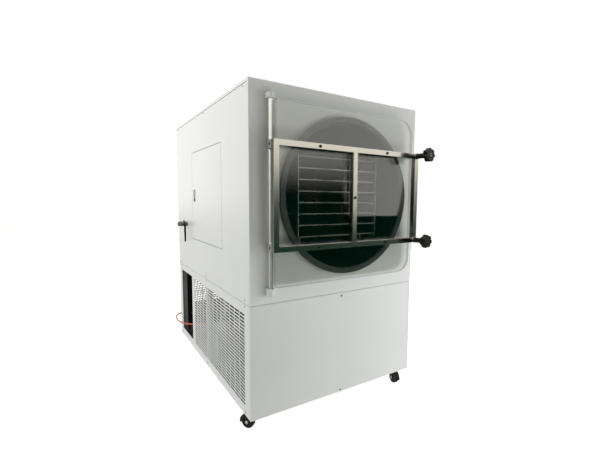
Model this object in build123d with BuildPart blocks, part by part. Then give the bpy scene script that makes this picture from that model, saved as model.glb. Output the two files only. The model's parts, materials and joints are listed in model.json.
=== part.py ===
"""Pilot freeze dryer: a cabinet on castors with a round drying chamber behind a clear swing door.

X runs to the right, Y to the rear and Z up. The origin is on the ground, under the middle of
the machine's outline without its hose. All sizes are in millimetres.
"""

from build123d import *
import os
from math import cos, pi, radians, sin, sqrt, tan

os.makedirs("parts", exist_ok=True)

# ---------------------------------------------------------------- driving dimensions
cabinet_width = 770.0
cabinet_depth = 1034.0
cabinet_height = 1160.0
base_height = 408.0  # machine room, from the cabinet's underside to the seam

sheet = 1.5  # side, rear and top panels
front_sheet = 2.0
fold = 10.0  # depth of a folded panel's returns
seam_gap = 1.5
panel_gap = 0.3  # between a panel and the frame behind it
cover_gap = 2.0  # between the top cover and the side panels
pan_sheet = 2.0
pan_rim = 22.0
post_size = 25.0
post_wall = 2.0
post_mid = 510.0  # middle stile, behind the front plane
deck_thickness = 4.0

screw_shank = 4.0
screw_head = 8.0
screw_proud = 1.6
screw_play = 0.15  # radial, in a panel's hole
screw_inset = 35.0  # from a side panel's front and rear edges
screw_low = 12.0  # above the underside
screw_below_seam = 10.0
screw_above_seam = 13.0
screw_below_top = 6.0  # below a side panel's top edge
front_screw_low = 7.0

chamber_offset = 12.0  # chamber axis to the right of the cabinet's middle
chamber_bore = 545.0
chamber_wall = 4.0
chamber_length = 780.0  # inside, from the front plane to the rear wall
rear_wall = 8.0
flange_lip = 15.5  # outside the chamber's wall
flange_proud = 6.0  # in front of the front plane
flange_thickness = 14.0
flange_play = 1.0  # radial, in the front panel's hole
gasket_overlap = 3.0  # outside the flange
gasket_thickness = 8.0
gasket_rounding = 2.5
saddle_thickness = 8.0
saddle_half_width = 190.0
saddle_front = 130.0  # behind the front plane
saddle_rear = 170.0  # in front of the chamber's inner end
saddle_play = 0.3
coil_tube = 12.0
header_tube = 16.0
header_angle = 30.0  # either side of the chamber's lowest line
coil_pitch = 42.0
coil_start = 200.0  # behind the front plane
coil_margin = 130.0  # last ring to the suction port's axis, at least

shelf_pitch = 42.7
shelf_thickness = 4.0
shelf_corner = 6.0
shelf_play = 0.3
rack_drop = 2.5  # rack's middle below the chamber axis
rack_width = 378.0
rack_depth = 480.0
rack_front = 50.0  # behind the front plane
rack_clearance = 24.0  # rack's corners to the chamber's wall, at least
shelf_margin = 10.0  # outer shelves to the rack's top and bottom, at least
upright = 3.0
upright_depth = 16.0
tie = 6.0
ledge = 8.0
ledge_thickness = 2.0
rack_leg_x = 150.0
leg_inset = 60.0

door_border = 22.0  # plate's edge outside the flange
door_thickness = 28.0
door_corner = 60.0
door_chamfer = 2.0
door_seat = 0.3  # plate to gasket
frame_tube = 20.0
frame_wall = 1.5
frame_height = 370.0
latch_gap = 9.0  # latch's axis outside the plate
frame_drop = 4.0  # frame's middle below the chamber axis
door_screw = 6.0
door_screw_head = 10.0
door_screw_proud = 3.0
door_screw_depth = 14.0
door_screw_end = 1.0  # short of the hole's bottom
screw_clearance = 0.3  # radial, in the plate and the frame
socket_width = 4.0
socket_floor = 1.0  # in front of the frame
door_screw_spread = 157.0  # either side of the mullion

shaft_diameter = 16.0
shaft_chamfer = 1.0
shaft_from_plate = 12.0  # shaft's axis to the plate's left edge
shaft_depth = 15.0  # shaft's axis in front of the front plane
running = 0.05  # radial clearance of a turning fit
block_radius = 11.0
block_height = 28.0
bracket_radius = 13.0
bracket_top = 18.0
bracket_bottom = 28.0
bracket_gap = 3.0  # to the plate's edge

stud_diameter = 8.0
stud_play = 0.3  # radial, in the frame
washer_diameter = 24.0
washer_thickness = 3.0
neck_diameter = 21.0
knob_neck = 46.7
knob_head = 23.0
knob_diameter = 56.0
knob_lobes = 7
lobe_radius = 8.0
knob_rounding = 2.5
knob_insert = 14.0  # blind hole in the head's face
knob_insert_depth = 6.0
boss_diameter = 15.0
boss_gap = 2.3  # behind the door frame
boss_play = 1.3  # radial, in place of the thread
thread_engaged = 13.5
thread_runout = 2.0

hatch_front = 280.0  # behind the front plane
hatch_width = 442.0
hatch_height = 415.0
hatch_drop = 2.5  # hatch's middle below the chamber axis
hatch_gap = 2.0
hatch_fold = 12.0
hatch_pin = 5.0
hatch_pin_engaged = 4.0
hatch_lug = 16.0
hatch_lug_sheet = 3.0
hatch_pin_x = 4.5  # pin's axis behind the hatch's face
hatch_pin_y = 5.0  # pin's axis behind the hatch's front edge
lock_inset = 40.0  # lock's middle to the hatch's rear edge
lock_rise = 3.5  # above the hatch's middle
lock_width = 30.0
lock_height = 60.0
lock_rim = 2.5
lock_depth = 14.0
lock_wall = 2.0
lock_flange = 1.0
paddle_thickness = 3.0
paddle_length = 34.0
paddle_play = 0.5
paddle_pin = 3.0
paddle_barrel = 7.0
paddle_inset = 5.0  # paddle's pin behind the face and below the pocket's top

slot_pitch = 13.0
slot_height = 7.0
slot_length = 47.7
slot_web = 4.5
slot_below_seam = 42.5  # top row's middle
slot_low = 40.0  # lowest row's middle above the underside, at least
slot_front = 47.0
slot_stile = 40.0  # between the grille and the window, at least
rear_slot_low = 170.0
rear_slot_side = 70.0
window_rear = 54.0  # in front of the rear plane
window_width = 214.0
window_low = 38.0  # above the underside
window_below_seam = 34.0

valve_reach = 45.0
valve_diameter = 25.0
valve_mouth = 16.0
valve_mouth_depth = 20.0
valve_gap = 4.0  # between the valve's body and the panel
vent_tube = 20.0
vent_bore = 12.0
vent_play = 0.5
vent_bend = 30.0
valve_behind = 65.0  # behind the chamber's inner end
vent_port_inset = 26.0  # port's axis inside the chamber's bore
vent_port_angle = 35.745  # below level, to the left of the chamber axis
stem_from_panel = 15.0
stem_radius = 3.0
stem_boss_radius = 7.0
valve_boss = 5.0  # stem's boss outside the body
valve_rounding = 1.5
lever_length = 92.0
lever_width = 11.0
lever_thickness = 4.0
suction_tube = 50.0
suction_wall = 3.0
suction_flange = 78.0
port_play = 0.3  # radial, round tubes in the chamber's wall
suction_bend = 70.0
suction_inset = 90.0  # in front of the chamber's inner end
suction_flange_thickness = 8.0
suction_rise = 320.0  # level run above the underside
feed_tube = 16.0
feed_flange = 40.0
feed_spread = 60.0
feed_flange_thickness = 14.0
feed_tail = 40.0  # behind the rear wall

compressor_radius = 105.0
compressor_height = 245.0
compressor_from_right = 250.0
compressor_from_front = 230.0
compressor_foot = 20.0
compressor_dome = 55.0  # height of the shell's domed top
compressor_chine = 30.0  # inward run of the shell's domes
mount_bar = (240.0, 90.0, 6.0)
mount_grid = (205.0, 60.0)
grommet_radius = 14.0
terminal_box = (45.0, 70.0, 80.0)
terminal_low = 90.0  # above the shell's bottom
terminal_sunk = 20.0  # into the shell
condenser_thickness = 60.0
condenser_width = 380.0
condenser_height = 368.0
condenser_from_right = 70.0
condenser_middle_y = 610.0  # behind the front plane
condenser_rim = 15.0
condenser_tube = 12.0
condenser_rows = 7
condenser_row_pitch = 48.0
condenser_row_low = 35.0
fin_pitch = 20.0
fin = 6.0
shroud_depth = 55.0
shroud_sheet = 2.0
fan_radius = 136.0
fan_play = 10.0  # blades' tips to the shroud's opening
fan_blades_count = 5
fan_pitch_angle = 28.0
blade_chord = 62.0
blade_rounding = 20.0
blade_thickness = 3.0
blade_root = 8.0  # into the hub
hub_radius = 30.0
hub_length = 26.0
hub_behind_shroud = 5.0
motor_radius = 38.0
motor_length = 46.0
motor_gap = 1.0
motor_shaft = 8.0
shaft_short = 4.0  # shaft's end inside the hub
shroud_spoke = 4.0
spoke_overlap = 14.0  # beyond the shroud's opening
spoke_sunk = 3.0  # spoke's axis in front of the shroud
spoke_angles = (30.0, 150.0, 270.0)

pump_from_left = 36.0
pump_from_front = 480.0
pump_side = 160.0
pump_motor_from_left = 400.0
pump_rail = 22.0
pump_lower = 44.0
pump_waist = 18.0
pump_waist_side = 148.0
pump_height = 150.0
pump_rail_overhang = 4.0
pump_motor_radius = 62.0
pump_motor_axis = 88.0  # above the pan
pump_saddle = (30.0, 18.0)
pump_saddle_inset = 20.0
intake_height = 185.0

control_from_face = 30.0
control_depth = 70.0
control_side = 60.0  # inside the hatch's front and rear edges
control_end = 20.0  # inside the hatch's top and bottom
control_rounding = 4.0
control_plate = 3.0
control_plate_overlap = 30.0

fitting_x = 66.0  # rear fitting's axis from the left face
fitting_z = 100.0  # above the cabinet's underside
rear_thread = 10.0
fitting_flange = 9.0  # radius
fitting_flange_thickness = 6.0
thread_inside = 10.0
elbow_length = 12.0
sleeve = 5.0  # radius of a barb's sleeve
fitting_stand = 34.0  # rear fitting's turned end behind the rear plane
fitting_radius = 8.0
hose_diameter = 8.0
hose_route = [  # from the cabinet's front left bottom corner
    (120, 658, 110),
    (120, 704, 110),
    (106, 756, 105),
    (70, 806, 97),
    (26, 850, 90),
    (-12, 897, 87),
    (-31, 950, 88),
    (-33, 1000, 92),
    (-29, 1032, 95),
    (-12, 1057, 98),
    (16, 1068, 100),
    (48, 1068, 100),
]
inlet_width = 48.0
inlet_height = 30.0
inlet_flange = 3.0
inlet_from_right = 120.0
inlet_rise = 60.0
inlet_play = 0.5
inlet_depth = 22.0
inlet_well = (32.0, 18.0, 18.0)
inlet_pin = (2.0, 5.0, 16.0)
inlet_pin_pitch = 8.0

wheel_diameter = 50.0
wheel_width = 22.0
wheel_trail = 24.0
wheel_gap = 1.0  # to each cheek
tread_rounding = 3.0
axle_diameter = 8.0
axle_head = 13.0
axle_head_length = 2.0
axle_play = 0.3  # radial, in the cheeks
cheek = 2.5
crown_thickness = 3.0
crown_length = 46.0
crown_gap = 8.0  # above the wheel
swivel_radius = 19.0
kingpin_diameter = 12.0
kingpin_flange = 3.0  # wider than the kingpin, under the crown
race_height = 8.0  # between the crown and the plate
plate_thickness = 3.0
plate_size = 60.0
plate_rounding = 6.0
cheek_front = 8.0  # in front of the swivel axis
cheek_boss = 9.0  # round the axle
crown_rounding = 4.0
caster_inset_x = 39.0
caster_inset_y = 63.0
caster_turns = {  # degrees that each castor stands turned from straight ahead
    "front_left": 145.0,
    "front_right": 12.0,
    "rear_left": -78.0,
    "rear_right": 20.0,
}

# ---------------------------------------------------------------- planes of the cabinet
plate_back = flange_proud + gasket_thickness + door_seat
plate_front = plate_back + door_thickness
frame_front = plate_front + frame_tube
washer_front = frame_front + washer_thickness
knob_reach = washer_front + knob_neck + knob_head

left = (valve_reach - cabinet_width - screw_proud) / 2
right = left + cabinet_width
front = (knob_reach - fitting_stand - fitting_radius - cabinet_depth) / 2
rear = front + cabinet_depth
floor = wheel_diameter + crown_gap + crown_thickness + race_height + plate_thickness
top = floor + cabinet_height
seam = floor + base_height

inner_left = left + sheet + panel_gap
inner_right = right - sheet - panel_gap
inner_front = front + fold + panel_gap
inner_rear = rear - fold - panel_gap
middle_x = (left + right) / 2
middle_y = (front + rear) / 2

axis_x = middle_x + chamber_offset
axis_z = (seam + top) / 2
chamber_axis = Axis((axis_x, 0, axis_z), (0, 1, 0))
bore_radius = chamber_bore / 2
shell_radius = bore_radius + chamber_wall
flange_outer = chamber_bore + 2 * (chamber_wall + flange_lip)
gasket_outer = flange_outer + 2 * gasket_overlap
chamber_end = front + chamber_length
port_circle = bore_radius - vent_port_inset
vent_port = (
    axis_x - port_circle * cos(radians(vent_port_angle)),
    axis_z - port_circle * sin(radians(vent_port_angle)),
)


def at_x(x):
    """Plane facing +X, with Y across and Z up."""
    return Plane.YZ.offset(x)


def at_y(y):
    """Plane facing -Y, with X across and Z up."""
    return Plane.XZ.offset(-y)


def at_z(z):
    """Level plane facing up."""
    return Plane.XY.offset(z)


def around(middle, size):
    """Range of a size about its middle."""
    return (middle - size / 2, middle + size / 2)


def block(x_range, y_range, z_range, mode=Mode.ADD):
    """Square-edged block that fills three ranges, in the part being built."""
    ranges = (x_range, y_range, z_range)
    middle = tuple((min(r) + max(r)) / 2 for r in ranges)
    with Locations(middle):
        Box(*(max(r) - min(r) for r in ranges), mode=mode)


def rod(start, end, radius, mode=Mode.ADD):
    """Round bar from one point to another, in the part being built."""
    run = Vector(*end) - Vector(*start)
    with BuildSketch(Plane(origin=start, z_dir=run)) as section:
        Circle(radius)
    extrude(section.sketch, amount=run.length, mode=mode)


# ---------------------------------------------------------------- cabinet frame
with BuildPart() as base_pan:
    block((inner_left, inner_right), (inner_front, inner_rear), (floor, floor + pan_sheet + pan_rim))
    block(
        (inner_left + pan_sheet, inner_right - pan_sheet),
        (inner_front + pan_sheet, inner_rear - pan_sheet),
        (floor + pan_sheet, floor + pan_sheet + pan_rim),
        mode=Mode.SUBTRACT,
    )
base_pan.part.label = "base_pan"
export_step(base_pan.part, "parts/base_pan.step")

pan_top = floor + pan_sheet
post_inset = pan_sheet + panel_gap + post_size / 2
post_x = (inner_left + post_inset, inner_right - post_inset)
post_y = (inner_front + post_inset, inner_rear - post_inset)
corner_posts = [(x, y) for x in post_x for y in post_y]
middle_posts = [(x, front + post_mid) for x in post_x]
deck_bottom = seam - deck_thickness

with BuildPart() as frame_posts:
    for points, post_top in ((corner_posts, top - sheet), (middle_posts, deck_bottom)):
        with BuildSketch(at_z(pan_top)):
            with Locations(*points):
                Rectangle(post_size, post_size)
                Rectangle(post_size - 2 * post_wall, post_size - 2 * post_wall, mode=Mode.SUBTRACT)
        extrude(amount=post_top - pan_top)
frame_posts.part.label = "frame_posts"
export_step(frame_posts.part, "parts/frame_posts.step")

suction_y = chamber_end - suction_inset

with BuildPart() as deck:
    with BuildSketch(at_z(deck_bottom)):
        with Locations((middle_x, middle_y)):
            Rectangle(inner_right - inner_left, inner_rear - inner_front)
        with Locations(*corner_posts):
            Rectangle(post_size + 2 * panel_gap, post_size + 2 * panel_gap, mode=Mode.SUBTRACT)
        with Locations((axis_x, suction_y)):
            Circle(suction_tube / 2 + suction_wall, mode=Mode.SUBTRACT)
    extrude(amount=deck_thickness)
deck.part.label = "deck"
export_step(deck.part, "parts/deck.step")

with BuildPart() as chamber_saddles:
    for saddle_face in (front + saddle_front, chamber_end - saddle_rear):
        saddle_y = (saddle_face, saddle_face + saddle_thickness)
        block((axis_x - saddle_half_width, axis_x + saddle_half_width), saddle_y, (seam, axis_z))
        rod((axis_x, saddle_y[0], axis_z), (axis_x, saddle_y[1], axis_z),
            shell_radius + saddle_play, mode=Mode.SUBTRACT)
chamber_saddles.part.label = "chamber_saddles"
export_step(chamber_saddles.part, "parts/chamber_saddles.step")

# ---------------------------------------------------------------- outer panels
with BuildPart() as top_cover:
    block((left, right), (front + fold, rear - fold), (top - fold, top))
    block((left + sheet, right - sheet), (front + fold, rear - fold), (top - fold, top - sheet),
          mode=Mode.SUBTRACT)
    fillet(edges().filter_by(Axis.Y).group_by(Axis.Z)[-1], sheet / 2)
top_cover.part.label = "top_cover"
export_step(top_cover.part, "parts/top_cover.step")


def folded_panel(face_y, inward, low, high, thickness):
    """Panel across the cabinet with its four edges folded inward, in the part being built."""
    block((left, right), (face_y, face_y + inward * fold), (low, high))
    block((left + thickness, right - thickness), (face_y + inward * thickness, face_y + inward * fold),
          (low + thickness, high - thickness), mode=Mode.SUBTRACT)
    corner_edges = edges().filter_by(Axis.Z).group_by(Axis.Y)
    fillet(corner_edges[0] if inward > 0 else corner_edges[-1], thickness / 2)


def screw_holes(points):
    """Clearance holes for panel screws, in the sketch being drawn."""
    with Locations(*points):
        Circle(screw_shank / 2 + screw_play, mode=Mode.SUBTRACT)


def slot_grid(middle, columns, rows):
    """Rows of punched slots below the top row, in the sketch being drawn."""
    with Locations((middle, seam - slot_below_seam - (rows - 1) * slot_pitch / 2)):
        with GridLocations(slot_length + slot_web, slot_pitch, columns, rows):
            SlotOverall(slot_length, slot_height)


lower_top = seam - seam_gap / 2
upper_bottom = seam + seam_gap / 2
side_top = top - fold - cover_gap
lower_screw_z = (floor + screw_low, seam - screw_below_seam)
upper_screw_z = (seam + screw_above_seam, side_top - screw_below_top)
front_screws = [(middle_x, seam - screw_above_seam), (middle_x, floor + front_screw_low)]
rear_screws = [(x, z) for x in (left + screw_inset, right - screw_inset)
               for z in lower_screw_z + upper_screw_z]
screw_y = (inner_front + screw_inset, front + post_mid, inner_rear - screw_inset)
lower_screws = [(y, z) for y in screw_y for z in lower_screw_z]
upper_screws = [(y, z) for y in screw_y for z in upper_screw_z]

with BuildPart() as front_upper_panel:
    folded_panel(front, 1, upper_bottom, top, front_sheet)
    with BuildSketch(at_y(front)):
        with Locations((axis_x, axis_z)):
            Circle(flange_outer / 2 + flange_play)
    extrude(amount=-front_sheet, mode=Mode.SUBTRACT)
front_upper_panel.part.label = "front_upper_panel"
export_step(front_upper_panel.part, "parts/front_upper_panel.step")

with BuildPart() as front_lower_panel:
    folded_panel(front, 1, floor, lower_top, front_sheet)
    with BuildSketch(at_y(front)):
        with Locations(*front_screws):
            Circle(screw_shank / 2 + screw_play)
    extrude(amount=-front_sheet, mode=Mode.SUBTRACT)
front_lower_panel.part.label = "front_lower_panel"
export_step(front_lower_panel.part, "parts/front_lower_panel.step")

hatch_y = (front + hatch_front, front + hatch_front + hatch_width)
hatch_z = around(axis_z - hatch_drop, hatch_height)
valve_y = chamber_end + valve_behind
valve_z = vent_port[1]
window_y = (rear - window_rear - window_width, rear - window_rear)
window_z = (floor + window_low, seam - window_below_seam)
slot_span = base_height - slot_below_seam
slot_rows = 1 + int((slot_span - slot_low) // slot_pitch)
slot_columns = int((window_y[0] - slot_stile - front - slot_front) // (slot_length + slot_web))
rear_slot_rows = 1 + int((slot_span - rear_slot_low) // slot_pitch)
rear_slot_columns = int((cabinet_width - 2 * rear_slot_side) // (slot_length + slot_web))
grille_middle = front + slot_front + slot_columns * (slot_length + slot_web) / 2

with BuildPart() as left_upper_panel:
    with BuildSketch(at_x(left)):
        with Locations((middle_y, (upper_bottom + side_top) / 2)):
            Rectangle(inner_rear - inner_front, side_top - upper_bottom)
        with Locations((sum(hatch_y) / 2, sum(hatch_z) / 2)):
            Rectangle(hatch_width + 2 * hatch_gap, hatch_height + 2 * hatch_gap, mode=Mode.SUBTRACT)
        with Locations((valve_y, valve_z)):
            Circle(vent_tube / 2 + vent_play, mode=Mode.SUBTRACT)
        screw_holes(upper_screws)
    extrude(amount=sheet)
left_upper_panel.part.label = "left_upper_panel"
export_step(left_upper_panel.part, "parts/left_upper_panel.step")

with BuildPart() as right_upper_panel:
    with BuildSketch(at_x(right - sheet)):
        with Locations((middle_y, (upper_bottom + side_top) / 2)):
            Rectangle(inner_rear - inner_front, side_top - upper_bottom)
        screw_holes(upper_screws)
    extrude(amount=sheet)
right_upper_panel.part.label = "right_upper_panel"
export_step(right_upper_panel.part, "parts/right_upper_panel.step")

with BuildPart() as left_lower_panel:
    with BuildSketch(at_x(left)):
        with Locations((middle_y, (floor + lower_top) / 2)):
            Rectangle(inner_rear - inner_front, lower_top - floor)
        with Locations((sum(window_y) / 2, sum(window_z) / 2)):
            Rectangle(window_width, window_z[1] - window_z[0], mode=Mode.SUBTRACT)
        screw_holes(lower_screws)
    extrude(amount=sheet)
    with BuildSketch(at_x(left)):
        slot_grid(grille_middle, slot_columns, slot_rows)
    extrude(amount=sheet, mode=Mode.SUBTRACT)
left_lower_panel.part.label = "left_lower_panel"
export_step(left_lower_panel.part, "parts/left_lower_panel.step")

with BuildPart() as right_lower_panel:
    with BuildSketch(at_x(right - sheet)):
        with Locations((middle_y, (floor + lower_top) / 2)):
            Rectangle(inner_rear - inner_front, lower_top - floor)
        screw_holes(lower_screws)
    extrude(amount=sheet)
    with BuildSketch(at_x(right - sheet)):
        slot_grid(grille_middle, slot_columns, slot_rows)
    extrude(amount=sheet, mode=Mode.SUBTRACT)
right_lower_panel.part.label = "right_lower_panel"
export_step(right_lower_panel.part, "parts/right_lower_panel.step")

rear_fitting = (left + fitting_x, floor + fitting_z)
inlet_middle = (right - inlet_from_right, floor + inlet_rise)

with BuildPart() as rear_upper_panel:
    folded_panel(rear, -1, upper_bottom, top, sheet)
    with BuildSketch(at_y(rear)):
        with Locations(*[point for point in rear_screws if point[1] > seam]):
            Circle(screw_shank / 2 + screw_play)
    extrude(amount=sheet, mode=Mode.SUBTRACT)
rear_upper_panel.part.label = "rear_upper_panel"
export_step(rear_upper_panel.part, "parts/rear_upper_panel.step")

with BuildPart() as rear_lower_panel:
    folded_panel(rear, -1, floor, lower_top, sheet)
    with BuildSketch(at_y(rear)):
        with Locations(*[point for point in rear_screws if point[1] < seam]):
            Circle(screw_shank / 2 + screw_play)
        with Locations(rear_fitting):
            Circle(rear_thread / 2 + screw_play)
        with Locations(inlet_middle):
            Rectangle(inlet_width - 2 * inlet_flange, inlet_height - 2 * inlet_flange)
        slot_grid(middle_x, rear_slot_columns, rear_slot_rows)
    extrude(amount=sheet, mode=Mode.SUBTRACT)
rear_lower_panel.part.label = "rear_lower_panel"
export_step(rear_lower_panel.part, "parts/rear_lower_panel.step")


def panel_screw(face_point, outward, thickness):
    """Screw whose head rests on a panel's face, in the part being built."""
    face = Vector(*face_point)
    out = Vector(*outward)
    rod(tuple(face), tuple(face + out * screw_proud), screw_head / 2)
    rod(tuple(face - out * thickness), tuple(face), screw_shank / 2)


with BuildPart() as panel_screws:
    for y, z in lower_screws + upper_screws:
        panel_screw((left, y, z), (-1, 0, 0), sheet)
        panel_screw((right, y, z), (1, 0, 0), sheet)
    for x, z in front_screws:
        panel_screw((x, front, z), (0, -1, 0), front_sheet)
    for x, z in rear_screws:
        panel_screw((x, rear, z), (0, 1, 0), sheet)
panel_screws.part.label = "panel_screws"
export_step(panel_screws.part, "parts/panel_screws.step")

# ---------------------------------------------------------------- drying chamber
feed_ports = [(axis_x - feed_spread, axis_z), (axis_x + feed_spread, axis_z)]

with BuildPart() as chamber:
    with BuildSketch(Plane.XY.offset(axis_z)):
        with BuildLine():
            Polyline(
                (axis_x + bore_radius, front - flange_proud),
                (axis_x + flange_outer / 2, front - flange_proud),
                (axis_x + flange_outer / 2, front - flange_proud + flange_thickness),
                (axis_x + shell_radius, front - flange_proud + flange_thickness),
                (axis_x + shell_radius, chamber_end + rear_wall),
                (axis_x, chamber_end + rear_wall),
                (axis_x, chamber_end),
                (axis_x + bore_radius, chamber_end),
                close=True,
            )
        make_face()
    revolve(axis=chamber_axis)
    with BuildSketch(at_y(chamber_end)):
        with Locations(vent_port):
            Circle(vent_bore / 2)
        with Locations(*feed_ports):
            Circle(feed_tube / 2 + port_play)
    extrude(amount=-rear_wall, mode=Mode.SUBTRACT)
    rod((axis_x, suction_y, axis_z - shell_radius), (axis_x, suction_y, axis_z - bore_radius / 2),
        suction_tube / 2 + port_play, mode=Mode.SUBTRACT)
chamber.part.label = "chamber"
export_step(chamber.part, "parts/chamber.step")

with BuildPart() as door_gasket:
    with BuildSketch(Plane.XY.offset(axis_z)):
        ring_width = gasket_outer / 2 - bore_radius
        with Locations((axis_x + bore_radius + ring_width / 2, front - flange_proud - gasket_thickness / 2)):
            RectangleRounded(ring_width, gasket_thickness, gasket_rounding)
    revolve(axis=chamber_axis)
door_gasket.part.label = "door_gasket"
export_step(door_gasket.part, "parts/door_gasket.step")

coil_radius = shell_radius + coil_tube / 2 + port_play
coil_rings = 1 + int((chamber_length - coil_start - suction_inset - coil_margin) // coil_pitch)
coil_end = coil_start + (coil_rings - 1) * coil_pitch
header_circle = shell_radius + header_tube / 2 + 1
header_y = (front + coil_start - coil_tube, front + coil_end + coil_tube)

with BuildPart() as cold_coil:
    for ring in range(coil_rings):
        with BuildSketch(Plane.XY.offset(axis_z)):
            with Locations((axis_x + coil_radius, front + coil_start + ring * coil_pitch)):
                Circle(coil_tube / 2)
        revolve(axis=chamber_axis)
    for side in (-1, 1):
        header_x = axis_x + side * header_circle * sin(radians(header_angle))
        header_z = axis_z - header_circle * cos(radians(header_angle))
        rod((header_x, header_y[0], header_z), (header_x, header_y[1], header_z), header_tube / 2)
cold_coil.part.label = "cold_coil"
export_step(cold_coil.part, "parts/cold_coil.step")

pump_x = (left + pump_from_left, left + pump_from_left + pump_side)
pump_y = (front + pump_from_front, front + pump_from_front + pump_side)
pump_middle = (sum(pump_x) / 2, sum(pump_y) / 2)
pump_motor_x = left + pump_motor_from_left
pump_top = pan_top + pump_height
intake_z = pan_top + intake_height
suction_level = floor + suction_rise
suction_high = axis_z - sqrt(bore_radius**2 - (suction_tube / 2) ** 2)
vent_end = left - valve_gap

with BuildPart() as chamber_pipes:
    with BuildLine() as suction_path:
        FilletPolyline(
            (axis_x, suction_y, suction_high),
            (axis_x, suction_y, suction_level),
            (*pump_middle, suction_level),
            (*pump_middle, intake_z),
            radius=suction_bend,
        )
    with BuildSketch(Plane(origin=(axis_x, suction_y, suction_high), z_dir=(0, 0, -1))):
        Circle(suction_tube / 2)
        Circle(suction_tube / 2 - suction_wall, mode=Mode.SUBTRACT)
    sweep(path=suction_path.line)
    with BuildSketch(at_z(intake_z)):
        with Locations(pump_middle):
            Circle(suction_flange / 2)
            Circle(suction_tube / 2 - suction_wall, mode=Mode.SUBTRACT)
    extrude(amount=suction_flange_thickness)
    with BuildLine() as vent_path:
        FilletPolyline(
            (vent_end, valve_y, valve_z),
            (vent_port[0], valve_y, valve_z),
            (vent_port[0], chamber_end + rear_wall, valve_z),
            radius=vent_bend,
        )
    with BuildSketch(Plane(origin=(vent_end, valve_y, valve_z), z_dir=(1, 0, 0))):
        Circle(vent_tube / 2)
        Circle(vent_bore / 2, mode=Mode.SUBTRACT)
    sweep(path=vent_path.line)
chamber_pipes.part.label = "chamber_pipes"
export_step(chamber_pipes.part, "parts/chamber_pipes.step")

with BuildPart() as feed_fittings:
    for x, z in feed_ports:
        rod((x, chamber_end - feed_flange_thickness, z), (x, chamber_end, z), feed_flange / 2)
        rod((x, chamber_end, z), (x, chamber_end + rear_wall + feed_tail, z), feed_tube / 2)
feed_fittings.part.label = "feed_fittings"
export_step(feed_fittings.part, "parts/feed_fittings.step")

# ---------------------------------------------------------------- shelf rack
rack_y = (front + rack_front, front + rack_front + rack_depth)
rack_x = (axis_x - rack_width / 2, axis_x + rack_width / 2)
rack_z = axis_z - rack_drop
rack_reach = sqrt((bore_radius - rack_clearance) ** 2 - (rack_width / 2) ** 2)
shelf_count = 1 + int(2 * (rack_reach - shelf_margin) // shelf_pitch)
shelf_levels = [rack_z + (i - (shelf_count - 1) / 2) * shelf_pitch for i in range(shelf_count)]
rack_top = shelf_levels[-1] + shelf_thickness / 2 + shelf_play + tie
rack_bottom = shelf_levels[0] - shelf_thickness / 2 - ledge_thickness - tie
upright_y = (rack_y[0], (sum(rack_y) - upright_depth) / 2, rack_y[1] - upright_depth)
cross_y = (rack_y[0] + leg_inset, rack_y[1] - leg_inset)

with BuildPart() as rack_frame:
    for outer_x, inward in ((rack_x[0], 1), (rack_x[1], -1)):
        for y in upright_y:
            block((outer_x, outer_x + inward * upright), (y, y + upright_depth), (rack_bottom, rack_top))
            for level in shelf_levels:
                ledge_top = level - shelf_thickness / 2
                block((outer_x, outer_x + inward * ledge), (y, y + upright_depth),
                      (ledge_top - ledge_thickness, ledge_top))
        for low in (rack_bottom, rack_top - tie):
            block((outer_x, outer_x + inward * upright), rack_y, (low, low + tie))
    for y in cross_y:
        for low in (rack_bottom, rack_top - tie):
            block(rack_x, (y - upright_depth / 2, y + upright_depth / 2), (low, low + tie))
        for side in (-1, 1):
            leg = axis_x + side * rack_leg_x
            wall_z = axis_z - sqrt((bore_radius - port_play) ** 2 - (rack_leg_x + upright) ** 2)
            block((leg - upright, leg + upright), (y - upright_depth / 2, y + upright_depth / 2),
                  (wall_z, rack_bottom))
rack_frame.part.label = "rack_frame"
export_step(rack_frame.part, "parts/rack_frame.step")

with BuildPart() as shelves:
    for level in shelf_levels:
        with BuildSketch(at_z(level - shelf_thickness / 2)):
            with Locations((axis_x, sum(rack_y) / 2)):
                RectangleRounded(rack_width - 2 * (upright + shelf_play), rack_depth, shelf_corner)
        extrude(amount=shelf_thickness)
shelves.part.label = "shelves"
export_step(shelves.part, "parts/shelves.step")

# ---------------------------------------------------------------- door
door_size = flange_outer + 2 * door_border
door_x = around(axis_x, door_size)
door_z = around(axis_z, door_size)
shaft_x = door_x[0] - shaft_from_plate
shaft_y = front - shaft_depth
latch_x = door_x[1] + latch_gap
frame_x = (shaft_x - block_radius, latch_x + frame_tube / 2)
frame_width = frame_x[1] - frame_x[0]
frame_z = around(axis_z - frame_drop, frame_height)
mullion_x = sum(frame_x) / 2
bar_z = (frame_z[0] + frame_tube / 2, frame_z[1] - frame_tube / 2)
latch_points = {"bottom": (latch_x, bar_z[0]), "top": (latch_x, bar_z[1])}
door_screw_points = [(mullion_x + side * door_screw_spread, z) for side in (-1, 1) for z in bar_z]
door_screw_points.append((mullion_x, sum(bar_z) / 2))

with BuildPart() as door_plate:
    with BuildSketch(at_y(front - plate_back)) as plate_outline:
        with Locations((axis_x, axis_z)):
            Rectangle(door_size, door_size)
        fillet(plate_outline.vertices().group_by(Axis.X)[-1], door_corner)
    extrude(amount=door_thickness)
    chamfer(edges().group_by(Axis.Y)[0], door_chamfer)
    with BuildSketch(at_y(front - plate_front)):
        with Locations(*door_screw_points):
            Circle(door_screw / 2 + screw_clearance)
    extrude(amount=-door_screw_depth, mode=Mode.SUBTRACT)
door_plate.part.label = "door_plate"
export_step(door_plate.part, "parts/door_plate.step")

window_width_each = (frame_width - 3 * frame_tube) / 2
window_offset = (window_width_each + frame_tube) / 2
hollow = frame_tube - 2 * frame_wall
frame_middle = (mullion_x, sum(frame_z) / 2)

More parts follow.
